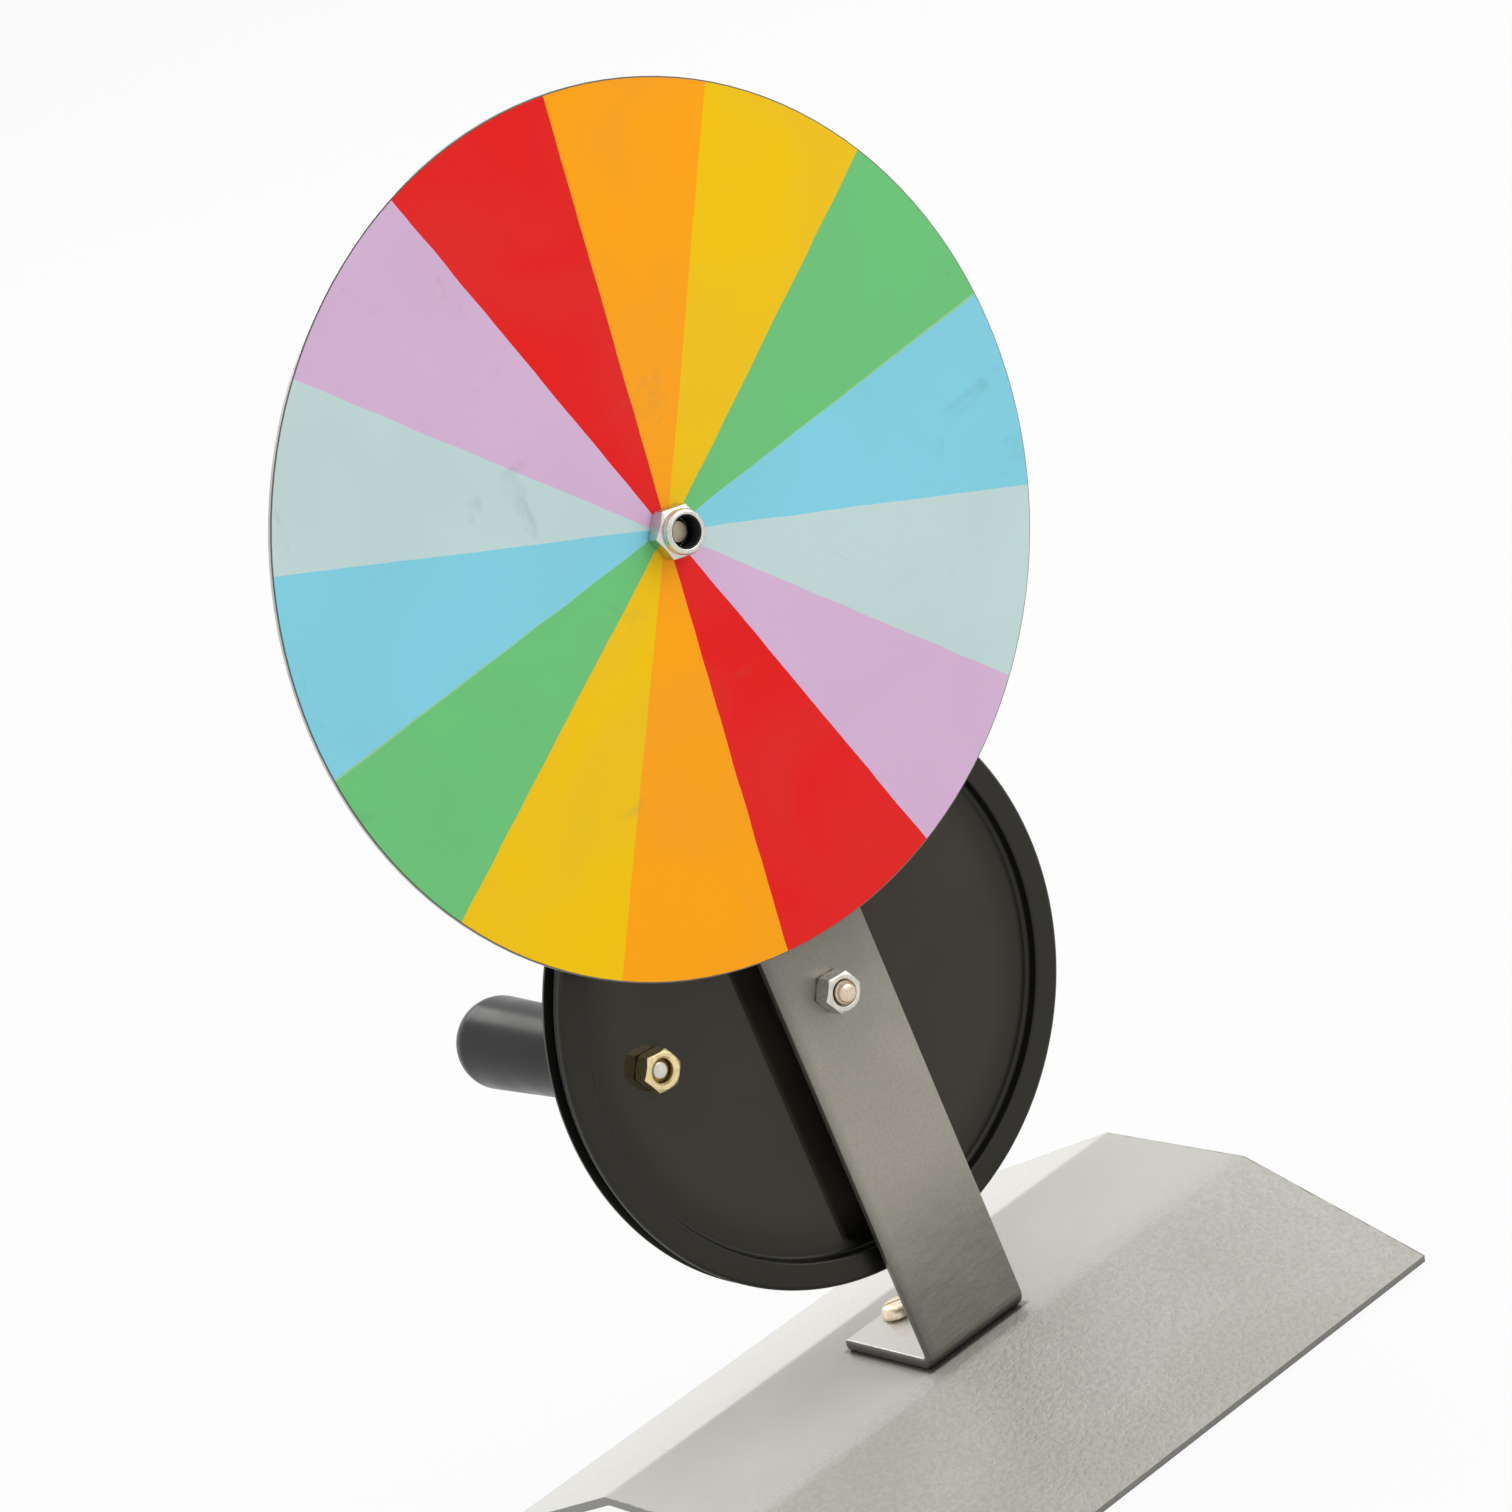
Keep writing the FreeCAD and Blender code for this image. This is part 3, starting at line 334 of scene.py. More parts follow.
def shape_with(piece, tool, how="DIFFERENCE"):
    """Take a tool's shape out of a piece, join it on, or keep only what both share."""
    step = piece.modifiers.new("tool", "BOOLEAN")
    step.operation = how
    step.object = tool
    pick(piece)
    bpy.ops.object.modifier_apply(modifier="tool")
    bpy.data.objects.remove(tool)


def saw_slot(piece, middle, blade, turn=0):
    """Saw a slot with a blade of a size in millimetres, set about a middle and turned about Z in degrees."""
    bpy.ops.object.select_all(action="DESELECT")
    bpy.ops.mesh.primitive_cube_add(size=1, location=[part * MM for part in middle],
                                    rotation=(0, 0, math.radians(turn)), scale=[part * MM for part in blade])
    shape_with(piece, settled("saw"))


def break_edges(piece, width, segments=2):
    """Round a piece's sharp edges by a width in millimetres, and shade it smooth between them."""
    pick(piece)
    edge = piece.modifiers.new("edge", "BEVEL")
    edge.width = width * MM
    edge.segments = segments
    edge.limit_method = "ANGLE"
    edge.angle_limit = math.radians(SHARP)
    bpy.ops.object.modifier_apply(modifier="edge")
    bpy.ops.object.shade_smooth_by_angle(angle=math.radians(SHARP + 10))
    shade = piece.modifiers.new("shade", "WEIGHTED_NORMAL")
    shade.keep_sharp = True
    bpy.ops.object.modifier_apply(modifier="shade")


def fit(piece, body, slot, finish, *stands_for):
    """Finish a piece, and put it on its body in place of the plain nodes that it stands for."""
    coat(piece, finish)
    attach(piece, body)
    if stands_for:
        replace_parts(piece, *stands_for)


def hex_bar(name, axis, flats, start, end, turn=0, along=ACROSS):
    """A short length of hexagon bar between two places, its corners coned off at both ends."""
    along = Vector(along)
    turned = math.radians(30 + turn)
    bpy.ops.object.select_all(action="DESELECT")
    bpy.ops.mesh.primitive_cylinder_add(
        vertices=6, radius=flats / math.sqrt(3) * MM, depth=(end - start) * MM,
        location=Vector(axis) * MM + along * (start + end) / 2 * MM,
        rotation=(math.pi / 2, turned, 0) if along.y else (0, 0, turned))
    bar = settled(name)
    face, corner, over = 0.465 * flats, 0.6 * flats, 0.05
    drop = (corner - face) * math.tan(math.radians(30))
    shy = face - over / math.tan(math.radians(30))
    cone = turned_piece("cone", axis, [(shy, start - over), (corner, start + drop), (corner, end - drop),
                                       (shy, end + over)], along=along)
    shape_with(bar, cone, "INTERSECT")
    return bar


def hex_nut(name, axis, flats, start, end, bolt, turn=0, along=ACROSS):
    """A hex nut between two places: coned outside, bored for its bolt and countersunk at both ends."""
    nut = hex_bar(name, axis, flats, start, end, turn, along)
    bore, sink, over = bolt + 0.05, 0.45, 0.05
    shape_with(nut, turned_piece("tap", axis, [
        (bore + sink + over, start - over), (bore, start + sink), (bore, end - sink),
        (bore + sink + over, end + over)], along=along))
    break_edges(nut, 0.2, 3)
    return nut


plating_bloom, given, out = new_effect(
    "plating_bloom", [("Place", "Vector", None), ("Scale", "Float", 400.0)], ["Bloom", "Fleck"])
wander = add(plating_bloom, "TexNoise", {"Vector": given["Place"], "Scale": given["Scale"], "Detail": 3.0,
                                         "Distortion": 1.2}).outputs[0]
cells = add(plating_bloom, "TexVoronoi", {"Vector": given["Place"], "Scale": reckon(
    plating_bloom, "MULTIPLY", given["Scale"], 4.0)}).outputs["Distance"]
plating_bloom.links.new(ranged(plating_bloom, wander, 0.3, 0.7), out["Bloom"])
plating_bloom.links.new(ranged(plating_bloom, cells, 0.1, 0.6), out["Fleck"])


def plated(name, tones, roughness):
    """A zinc plating that wanders between three tones."""
    finish, tree, shader, place = new_finish(name, {"Metallic": 1.0})
    bloom = use_effect(tree, plating_bloom, place, Scale=420.0)
    cloud = use_effect(tree, soft_clouds, place, Scale=700.0)["Tone"]
    colour = mixed(tree, bloom["Bloom"], tones[0], tones[1])
    colour = mixed(tree, ranged(tree, cloud, 0.55, 1.0, 0.0, 0.7), colour, tones[2])
    feed(tree, shader, colour,
         ranged(tree, bloom["Fleck"], 0.0, 1.0, roughness - 0.06, roughness + 0.08))
    raise_grain(tree, shader, bloom["Fleck"], 0.000008)
    return finish


BRIGHT_TONES = tint(214, 213, 205), tint(196, 196, 190), tint(222, 212, 196)
YELLOW_TONES = tint(238, 222, 174), tint(218, 192, 146), tint(216, 208, 154)
PALE_YELLOW_TONES = tint(238, 228, 204), tint(222, 204, 172), tint(242, 234, 214)
bright_zinc = plated("bright_zinc", BRIGHT_TONES, 0.28)
yellow_zinc = plated("yellow_zinc", YELLOW_TONES, 0.3)
pale_yellow_zinc = plated("pale_yellow_zinc", PALE_YELLOW_TONES, 0.3)

FOOT_SCREW = (0, 5.5, 0)
SCREW_RADIUS, SCREW_END, SCREW_SEAT, SCREW_TOP = 2, 12.3, 22, 24.93
screw = turned_piece("foot_screw_made", FOOT_SCREW, [
    (SCREW_RADIUS - 0.4, SCREW_END), (SCREW_RADIUS, SCREW_END + 0.4), (SCREW_RADIUS, SCREW_SEAT),
    *arc(1.55, 22.45, 2.45, 0, 88, 9), (0.8, SCREW_TOP)], along=UPWARD)
saw_slot(screw, middle=(0, 5.5, 25.5), blade=(12, 0.7, 2), turn=-37)
break_edges(screw, 0.1)
fit(screw, "stand", "yellow_zinc", pale_yellow_zinc, "foot_screw")
foot_nut = hex_nut("foot_nut_made", FOOT_SCREW, 7, 13.5, 16.7, SCREW_RADIUS, along=UPWARD)
fit(foot_nut, "stand", "bright_zinc", bright_zinc, "foot_nut")
coat(nodes["foot_washer"], bright_zinc)


# Axle: a hex bolt put through from behind, with a full nut in front of the bracket and a thin one
# behind it. The bolt's end is domed and threaded, and all of it is zinc plated.

def thread(name, axis, bolt, pitch, start, turns):
    """A helical thread along Y from a place on: a three-cornered ridge swept by the Screw modifier."""
    bpy.ops.object.select_all(action="DESELECT")
    bpy.ops.mesh.primitive_circle_add(
        vertices=3, radius=pitch * 0.55 * MM, location=((bolt - pitch * 0.45) * MM, start * MM, 0),
        rotation=(0, 0, math.radians(-90)))
    ridge = settled(name)
    sweep = ridge.modifiers.new("sweep", "SCREW")
    sweep.axis = "Y"
    sweep.steps = 48
    sweep.render_steps = 48
    sweep.screw_offset = pitch * MM
    sweep.iterations = turns
    bpy.ops.object.modifier_apply(modifier="sweep")
    bpy.ops.object.mode_set(mode="EDIT")
    bpy.ops.mesh.select_all(action="SELECT")
    bpy.ops.mesh.remove_doubles(threshold=1e-7)
    bpy.ops.mesh.fill_holes(sides=3)
    bpy.ops.mesh.normals_make_consistent(inside=False)
    bpy.ops.transform.translate(value=(axis[0] * MM, 0, axis[2] * MM))
    bpy.ops.object.mode_set(mode="OBJECT")
    return ridge


def joined(*made):
    """Make one piece of several."""
    pick(*made)
    bpy.ops.object.join()
    return made[0]


AXLE = (0, 0, 104.5)
BOLT_RADIUS, BOLT_FLATS, THIN_NUT = 2.5, 8, 2.7
AXLE_HEAD, HEAD_DEPTH = -2.1, 3.5
AXLE_NUT_FRONT, AXLE_NUT_SEAT, LOCK_NUT_SEAT = -26.2, -21.5, -19.0
BOLT_END_TONES = tint(222, 202, 180), tint(206, 186, 168), tint(230, 214, 196)
head = hex_bar("axle_bolt_made", AXLE, BOLT_FLATS, AXLE_HEAD, AXLE_HEAD + HEAD_DEPTH)
shank = turned_piece("shank", AXLE, [
    (0.7, -27.8), (1.4, -27.7), (1.9, -27.45), (2.12, -27.05), (2.15, -26.5), (2.42, AXLE_NUT_FRONT),
    (2.42, AXLE_HEAD)])
shape_with(head, shank, "UNION")
break_edges(head, 0.12)
axle_bolt = joined(head, thread("axle_thread", AXLE, BOLT_RADIUS, pitch=0.8, start=-26.75, turns=4))
bolt_end_zinc = plated("bolt_end_zinc", BOLT_END_TONES, 0.34)
fit(axle_bolt, "stand", "bright_zinc", bolt_end_zinc, "axle_bolt")
axle_nut = hex_nut("axle_nut_made", AXLE, BOLT_FLATS, AXLE_NUT_FRONT, AXLE_NUT_SEAT, BOLT_RADIUS, 3)
fit(axle_nut, "stand", "bright_zinc", bright_zinc, "axle_nut")
thin_nut = hex_nut("axle_lock_nut_made", AXLE, BOLT_FLATS, LOCK_NUT_SEAT, LOCK_NUT_SEAT + THIN_NUT,
                   BOLT_RADIUS)
fit(thin_nut, "stand", "bright_zinc", bright_zinc, "axle_lock_nut")
coat(nodes["axle_washers"], bright_zinc)


# Drive wheel: one black moulding with a dished face, a hub, a belt groove round its rim
# and a boss behind for the crank bolt. The mould leaves every corner a little round.

WHEEL_FRONT, WHEEL_BACK = -16.6, -9.1
WEB_FRONT, WEB_BACK = -13.9, -11.5
HUB_FRONT, HUB_BACK = -14.4, -3.4
WHEEL_RADIUS, DISH_RADIUS, GROOVE_FLOOR = 62.5, 56.7, 58.2
HUB_RADIUS, HUB_BORE, BOSS_RADIUS, CRANK_HOLE = 10, 4, 8, BOLT_RADIUS + 0.05
BELT_PLANE, GROOVE_HALF_MOUTH, GROOVE_HALF_FLOOR = -12.85, 2.4, 1.8
CRANK = (-41.2332, 0, 109.1979)


def belt_groove(rim, floor):
    """Stations of the belt's groove in a rim, from front to back."""
    return [(rim, BELT_PLANE - GROOVE_HALF_MOUTH), (floor, BELT_PLANE - GROOVE_HALF_FLOOR),
            (floor, BELT_PLANE + GROOVE_HALF_FLOOR), (rim, BELT_PLANE + GROOVE_HALF_MOUTH)]


wheel = turned_piece("drive_wheel_made", AXLE, [
    (HUB_BORE, HUB_FRONT), (HUB_RADIUS, HUB_FRONT), (HUB_RADIUS, WEB_FRONT),
    *arc(DISH_RADIUS - 1.25, WEB_FRONT - 1, 1, 90, 0, 5),
    *arc(DISH_RADIUS + 0.5, WHEEL_FRONT + 0.6, 0.6, 180, 270, 4),
    *arc(WHEEL_RADIUS - 1, WHEEL_FRONT + 1, 1, -90, 0, 5), *belt_groove(WHEEL_RADIUS, GROOVE_FLOOR),
    *arc(WHEEL_RADIUS - 1, WHEEL_BACK - 1, 1, 0, 90, 5), (DISH_RADIUS, WHEEL_BACK),
    (DISH_RADIUS - 0.3, WEB_BACK), (HUB_RADIUS, WEB_BACK), (HUB_RADIUS, HUB_BACK), (HUB_BORE, HUB_BACK),
    (HUB_BORE, HUB_FRONT)], sides=240)
boss = turned_piece("boss", CRANK, [(BOSS_RADIUS, WEB_BACK - 0.6), (BOSS_RADIUS, WHEEL_BACK)])
shape_with(wheel, boss, "UNION")
shape_with(wheel, turned_piece("drill", CRANK, [(CRANK_HOLE, WEB_FRONT - 2), (CRANK_HOLE, WHEEL_BACK + 2)]))
break_edges(wheel, 0.35, 3)

WHEEL_BLACK = tint(35, 33, 28)
WHEEL_BLACK_DULL = tint(43, 39, 34)
RIM_BLACK = tint(9, 9, 8)
DARKER_FROM, ROUGHER_FROM, DISH_CORNER = 0.046, 0.0525, 0.0555
black_moulding, tree, shader, place = new_finish(
    "black_moulding", {"Specular IOR Level": 0.38, "Specular Tint": (1.0, 0.95, 0.78, 1.0)}, AXLE)
at = parts_of(tree, place)
from_axle = span(tree, at["X"], at["Z"])
cloud = use_effect(tree, soft_clouds, place, Scale=35.0)["Tone"]
grain = use_effect(tree, fine_grain, place, Scale=500.0)
colour = mixed(tree, ranged(tree, from_axle, DARKER_FROM, DISH_CORNER),
               mixed(tree, cloud, WHEEL_BLACK, WHEEL_BLACK_DULL), RIM_BLACK)
feed(tree, shader, colour, reckon(tree, "ADD", ranged(tree, from_axle, ROUGHER_FROM, DISH_CORNER, 0.0, 0.3),
                                  ranged(tree, cloud, 0.0, 1.0, 0.03, 0.07)))
raise_grain(tree, shader, grain["Height"], 0.0000025)
fit(wheel, "drive_wheel", "black_moulding", black_moulding, "drive_wheel")


# Crank bolt: a long round-headed bolt that carries the grip, held to the wheel's boss by a full
# yellow nut in front, which stands past the bolt's end, and a thin zinc nut behind.
# Its end is greasy.

GRIP_SEAT, HEAD_END = 47.2, 50.5
CRANK_NUT, CRANK_LOCK_NUT_SEAT = 4.4, -8.1
GREASE = tint(128, 112, 66)
crank_bolt = turned_piece("crank_bolt_made", CRANK, [
    (1.4, -17.2), (1.6, -17.1), (2.35, -16.7), (BOLT_RADIUS, -16.4), (BOLT_RADIUS, GRIP_SEAT),
    *arc(2.2, 48.5, 2, 0, 88, 8), (0.8, HEAD_END)])
saw_slot(crank_bolt, middle=(CRANK[0], HEAD_END, CRANK[2]), blade=(12, 2.6, 1.2))
break_edges(crank_bolt, 0.1)
bolt_zinc = bright_zinc.copy()
bolt_zinc.name = "greased_zinc"
tree = bolt_zinc.node_tree
plating = tree.nodes["Principled BSDF"].inputs["Base Color"]
at = parts_of(tree, place_from(tree, CRANK))
greasy = reckon(tree, "MULTIPLY", ranged(tree, span(tree, at["X"], at["Z"]), 0.00150, 0.00185),
                ranged(tree, at["Y"], -0.012, -0.0135))
tree.links.new(mixed(tree, greasy, plating.links[0].from_socket, GREASE), plating)
fit(crank_bolt, "drive_wheel", "bright_zinc", bolt_zinc, "crank_bolt")
crank_nut = hex_nut("crank_nut_made", CRANK, BOLT_FLATS, WEB_FRONT - CRANK_NUT, WEB_FRONT, BOLT_RADIUS, 4)
fit(crank_nut, "drive_wheel", "yellow_zinc", yellow_zinc, "crank_nut")


def copy_of(piece, name, move):
    """A like piece with a mesh of its own, moved by millimetres in the mesh, that stands for no node yet."""
    pick(piece)
    bpy.ops.object.duplicate(linked=False)
    twin = bpy.context.object
    twin.name = name
    twin["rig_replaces"] = []
    bpy.ops.object.mode_set(mode="EDIT")
    bpy.ops.mesh.select_all(action="SELECT")
    bpy.ops.transform.translate(value=[part * MM for part in move])
    bpy.ops.object.mode_set(mode="OBJECT")
    return twin


lock = copy_of(thin_nut, "crank_lock_nut_made",
               (CRANK[0], CRANK_LOCK_NUT_SEAT - LOCK_NUT_SEAT, CRANK[2] - AXLE[2]))
fit(lock, "drive_wheel", "bright_zinc", bright_zinc, "crank_lock_nut")
coat(nodes["crank_washers"], bright_zinc)


# Grip: black plastic, moulded round a plain bore, satin from the mould and domed at its far end.
# It is free to turn on the crank bolt, whose head sits in a well in that end.

GRIP_FRONT, GRIP_BORE, GRIP_WELL, WELL_FLOOR = -4.1, 2.58, 5, 46.9
DOME_START, DOME_RADIUS = 44.4, 8.5
GRIP_BLACK = tint(11, 11, 10)
GRIP_BLACK_DULL = tint(19, 19, 18)
grip = turned_piece("handle_grip_made", CRANK, [
    (GRIP_BORE, GRIP_FRONT), *arc(7.7, GRIP_FRONT + 1, 1, -90, 0, 4), (10, DOME_START),
    *arc(1.5, DOME_START, DOME_RADIUS, 5, 65.7, 14), (GRIP_WELL, WELL_FLOOR), (GRIP_BORE, WELL_FLOOR),
    (GRIP_BORE, GRIP_FRONT)], sides=128)
break_edges(grip, 0.25)
grip_plastic, tree, shader, place = new_finish("grip_plastic", {"Specular IOR Level": 0.25}, CRANK)
cloud = use_effect(tree, soft_clouds, place, Scale=60.0)["Tone"]
grain = use_effect(tree, fine_grain, place, Scale=2600.0)
feed(tree, shader, mixed(tree, cloud, GRIP_BLACK, GRIP_BLACK_DULL), ranged(tree, cloud, 0.0, 1.0, 0.26, 0.34))
raise_grain(tree, shader, grain["Height"], 0.000006)
fit(grip, "crank_handle", "grip_plastic", grip_plastic, "handle_grip")


# Spindle and bearings: a turned steel spindle in a flanged brass bush pressed into the bracket,
# the wheel's plain brass bush, and a turned aluminium pulley with its grub screw.

turned_rings, given, out = new_effect(
    "turned_rings", [("Place", "Vector", None), ("Scale", "Float", 6000.0)], ["Rings"])
at = parts_of(turned_rings, given["Place"])
path = add(turned_rings, "CombineXYZ", {"X": span(turned_rings, at["X"], at["Z"]), "Y": at["Y"]}).outputs[0]
rings = add(turned_rings, "TexNoise", {"Vector": path, "Scale": given["Scale"], "Detail": 2.0}).outputs[0]
turned_rings.links.new(ranged(turned_rings, rings, 0.3, 0.7), out["Rings"])


def turned_metal(name, tones, roughness, centre):
    """A turned metal with tool rings about an axis along Y, tarnished in patches."""
    finish, tree, shader, place = new_finish(name, {"Metallic": 1.0}, centre)
    rings = use_effect(tree, turned_rings, place, Scale=5200.0)["Rings"]
    cloud = use_effect(tree, soft_clouds, place, Scale=140.0)["Tone"]
    feed(tree, shader, mixed(tree, ranged(tree, cloud, 0.4, 1.0, 0.0, 0.6), *tones),
         ranged(tree, rings, 0.0, 1.0, roughness - 0.05, roughness + 0.1))
    raise_grain(tree, shader, rings, 0.000012)
    return finish


SPINDLE = (0, 0, 210)
SPINDLE_RADIUS, TIP_RADIUS, SPINDLE_BACK, SPINDLE_TIP = 3, 2.3, -0.55, -36.3
STEEL_TONES = tint(176, 166, 146), tint(140, 130, 112)
BRASS_TONES = tint(224, 190, 112), tint(176, 140, 84)
ALUMINIUM_TONES = tint(214, 216, 218), tint(186, 188, 190)
GRUB_SCREW_TONES = tint(120, 118, 116), tint(90, 88, 86)
spindle = turned_piece("spindle_made", SPINDLE, [
    (TIP_RADIUS - 0.2, SPINDLE_TIP), (TIP_RADIUS, SPINDLE_TIP + 0.2), (TIP_RADIUS, SPINDLE_TIP + 2.6),
    (SPINDLE_RADIUS, SPINDLE_TIP + 3), (SPINDLE_RADIUS, SPINDLE_BACK - 0.5), (2.5, SPINDLE_BACK)])
break_edges(spindle, 0.08)
turned_steel = turned_metal("turned_steel", STEEL_TONES, 0.34, SPINDLE)
fit(spindle, "disc_spindle", "turned_steel", turned_steel, "spindle")

BUSH_FRONT, FLANGE_BACK, BUSH_BACK = -24.2, -21.5, -16.95
BUSH_BORE, BUSH_RADIUS, FLANGE_RADIUS = 3.08, 5, 7.5
bush = turned_piece("spindle_bush_made", SPINDLE, [
    (BUSH_BORE, BUSH_FRONT), (FLANGE_RADIUS, BUSH_FRONT), (FLANGE_RADIUS, FLANGE_BACK),
    (BUSH_RADIUS, FLANGE_BACK), (BUSH_RADIUS, BUSH_BACK), (BUSH_BORE, BUSH_BACK), (BUSH_BORE, BUSH_FRONT)])
break_edges(bush, 0.2)
bearing_brass = turned_metal("bearing_brass", BRASS_TONES, 0.32, SPINDLE)
fit(bush, "stand", "bearing_brass", bearing_brass, "spindle_bush")
coat(nodes["wheel_bush"], turned_metal("wheel_bearing_brass", BRASS_TONES, 0.32, AXLE))

PULLEY_FRONT, PULLEY_BACK, COLLAR_END = -16.65, -9.05, -2.05
PULLEY_RADIUS, PULLEY_FLOOR, COLLAR_RADIUS = 10.5, 6.2, 7
GRUB_SCREW = (0, -5.55, 0)
pulley = turned_piece("small_pulley_made", SPINDLE, [
    (SPINDLE_RADIUS, PULLEY_FRONT), (PULLEY_RADIUS, PULLEY_FRONT), *belt_groove(PULLEY_RADIUS, PULLEY_FLOOR),
    (PULLEY_RADIUS, PULLEY_BACK), (COLLAR_RADIUS, PULLEY_BACK), (COLLAR_RADIUS, COLLAR_END),
    (SPINDLE_RADIUS, COLLAR_END), (SPINDLE_RADIUS, PULLEY_FRONT)])
shape_with(pulley, turned_piece("drill", GRUB_SCREW, [(1.5, 211), (1.5, 218)], sides=32, along=UPWARD))
break_edges(pulley, 0.25)
pulley_aluminium = turned_metal("pulley_aluminium", ALUMINIUM_TONES, 0.3, SPINDLE)
fit(pulley, "disc_spindle", "pulley_aluminium", pulley_aluminium, "small_pulley")
coat(nodes["pulley_screw"], turned_metal("grub_screw_steel", GRUB_SCREW_TONES, 0.35, SPINDLE))


# Drive belt: round black rubber cord, cut to length and welded into a loop.
# It lies in the grooves of the wheel and the small pulley, and is slightly dusty.

BELT_BLACK = tint(20, 20, 20)
BELT_DUST = tint(36, 35, 33)
belt_rubber, tree, shader, place = new_finish("belt_rubber", {"Specular IOR Level": 0.4})
cloud = use_effect(tree, soft_clouds, place, Scale=90.0)["Tone"]
grain = use_effect(tree, fine_grain, place, Scale=1800.0)
feed(tree, shader, mixed(tree, cloud, BELT_BLACK, BELT_DUST),
     ranged(tree, grain["Speckle"], 0.0, 1.0, 0.5, 0.7))
raise_grain(tree, shader, grain["Height"], 0.00003)
coat(nodes["drive_belt"], belt_rubber)


# Disc plate: aluminium sheet, blanked round and lightly brushed; its front face, left as a thin ring
# round the printed sheet, is painted dark as painted shade. A nut and washer back it on the spindle,
# and the hub nut clamps it from the front.

PLATE_GREY = tint(184, 185, 186)
PLATE_GREY_LIGHT = tint(194, 195, 196)
PLATE_RING_PAINTED_SHADE = tint(112, 108, 102)
SPINDLE_NUT_FLATS = 10
disc_aluminium, tree, shader, place = new_finish("disc_aluminium", {"Metallic": 1.0})
lines = use_effect(tree, drawn_lines, place, Stretch=(0.02, 1.0, 1.0), Scale=2600.0)["Lines"]
cloud = use_effect(tree, soft_clouds, place, Scale=25.0)["Tone"]
# Painted shade: the plate's front face, a thin ring round the printed sheet, is painted dark.
front_ring_shade = ranged(tree, facing_of(tree)["Y"], -0.6, -0.9)
colour = mixed(tree, front_ring_shade, mixed(tree, cloud, PLATE_GREY, PLATE_GREY_LIGHT), PLATE_RING_PAINTED_SHADE)
feed(tree, shader, colour, ranged(tree, lines, 0.0, 1.0, 0.3, 0.45))
raise_grain(tree, shader, lines, 0.00001)
coat(nodes["disc_plate"], disc_aluminium)
backing_nut = hex_nut("backing_nut_made", SPINDLE, SPINDLE_NUT_FLATS, -31.1, -26.1, SPINDLE_RADIUS)
fit(backing_nut, "disc_spindle", "bright_zinc", bright_zinc, "backing_nut")
for name in ("spindle_washer", "disc_washer"):
    coat(nodes[name], bright_zinc)


# Disc face: printed vinyl sheet stuck on the plate by hand, seven colours twice round in fourteen
# sectors. Each border runs a little off the middle, and the ink has faint handling marks.

RED, ORANGE, YELLOW = tint(228, 31, 29), tint(254, 165, 15), tint(242, 197, 11)
GREEN, BLUE, PALE, LILAC = tint(109, 197, 124), tint(131, 209, 231), tint(192, 217, 218), tint(213, 180, 215)
PAPER, HANDLED, SCUFFED = tint(226, 226, 214), tint(120, 124, 124), tint(96, 110, 108)
# Each border has its angle in degrees, the millimetres that it runs off the middle, and the next ink.
BORDERS = ((107.94, -0.67, RED), (82.27, -0.46, ORANGE), (57.58, -0.71, YELLOW), (32.63, -0.25, GREEN),
           (6.0, -0.39, BLUE), (-20.59, -0.07, PALE), (-46.33, 0.12, LILAC), (-71.91, -0.04, RED),
           (-97.52, 1.1, ORANGE), (-123.35, 1.15, YELLOW), (-148.75, 1.0, GREEN), (-174.4, 1.1, BLUE),
           (-200.95, 0.75, PALE), (-226.16, -0.93, LILAC))
START = 121
RAGGED = 0.00002
printed_sheet, tree, shader, place = new_finish("printed_sheet", {"Specular IOR Level": 0.08}, SPINDLE)
at = parts_of(tree, place)
from_middle = span(tree, at["X"], at["Z"])
ragged = ranged(tree, add(tree, "TexNoise", {"Vector": place, "Scale": 90.0, "Detail": 2.0}).outputs[0],
                0.2, 0.8, -RAGGED, RAGGED)
bearing = reckon(tree, "ARCTAN2", at["Z"], at["X"])
turn = reckon(tree, "DIVIDE", reckon(tree, "SUBTRACT", math.radians(START), bearing), 2 * math.pi)
turn = reckon(tree, "ADD", reckon(tree, "FRACT", turn), reckon(tree, "DIVIDE", ragged, from_middle))
colour = LILAC
for angle, off, ink in BORDERS:
    lean = reckon(tree, "DIVIDE", off * MM / (2 * math.pi), from_middle)
    border = reckon(tree, "ADD", lean, (START - angle) / 360)
    if ink == BLUE:
        before = reckon(tree, "SUBTRACT", turn, border)
        colour = mixed(tree, ranged(tree, before, -0.0011, -0.0006, 0.0, 0.25), colour, PAPER)
    colour = mixed(tree, reckon(tree, "GREATER_THAN", turn, border), colour, ink)
cloud = use_effect(tree, soft_clouds, place, Scale=28.0)["Tone"]
grain = use_effect(tree, fine_grain, place, Scale=900.0)
scuff = add(tree, "TexNoise", {"Vector": place, "Scale": 55.0, "Detail": 5.0, "Roughness": 0.6,
                               "Distortion": 0.8}).outputs[0]
colour = mixed(tree, ranged(tree, cloud, 0.0, 1.0, 0.0, 0.05), colour, HANDLED)
colour = mixed(tree, ranged(tree, scuff, 0.62, 0.76, 0.0, 0.2), colour, SCUFFED)
feed(tree, shader, colour, ranged(tree, cloud, 0.0, 1.0, 0.5, 0.6))
raise_grain(tree, shader, grain["Height"], 0.00001)
coat(nodes["disc_face"], printed_sheet)


# Hub nut: a self-locking hex nut of bright zinc, which clamps the disc. Its collar is crimped over
# a dark nylon ring, and the ring grips the spindle.

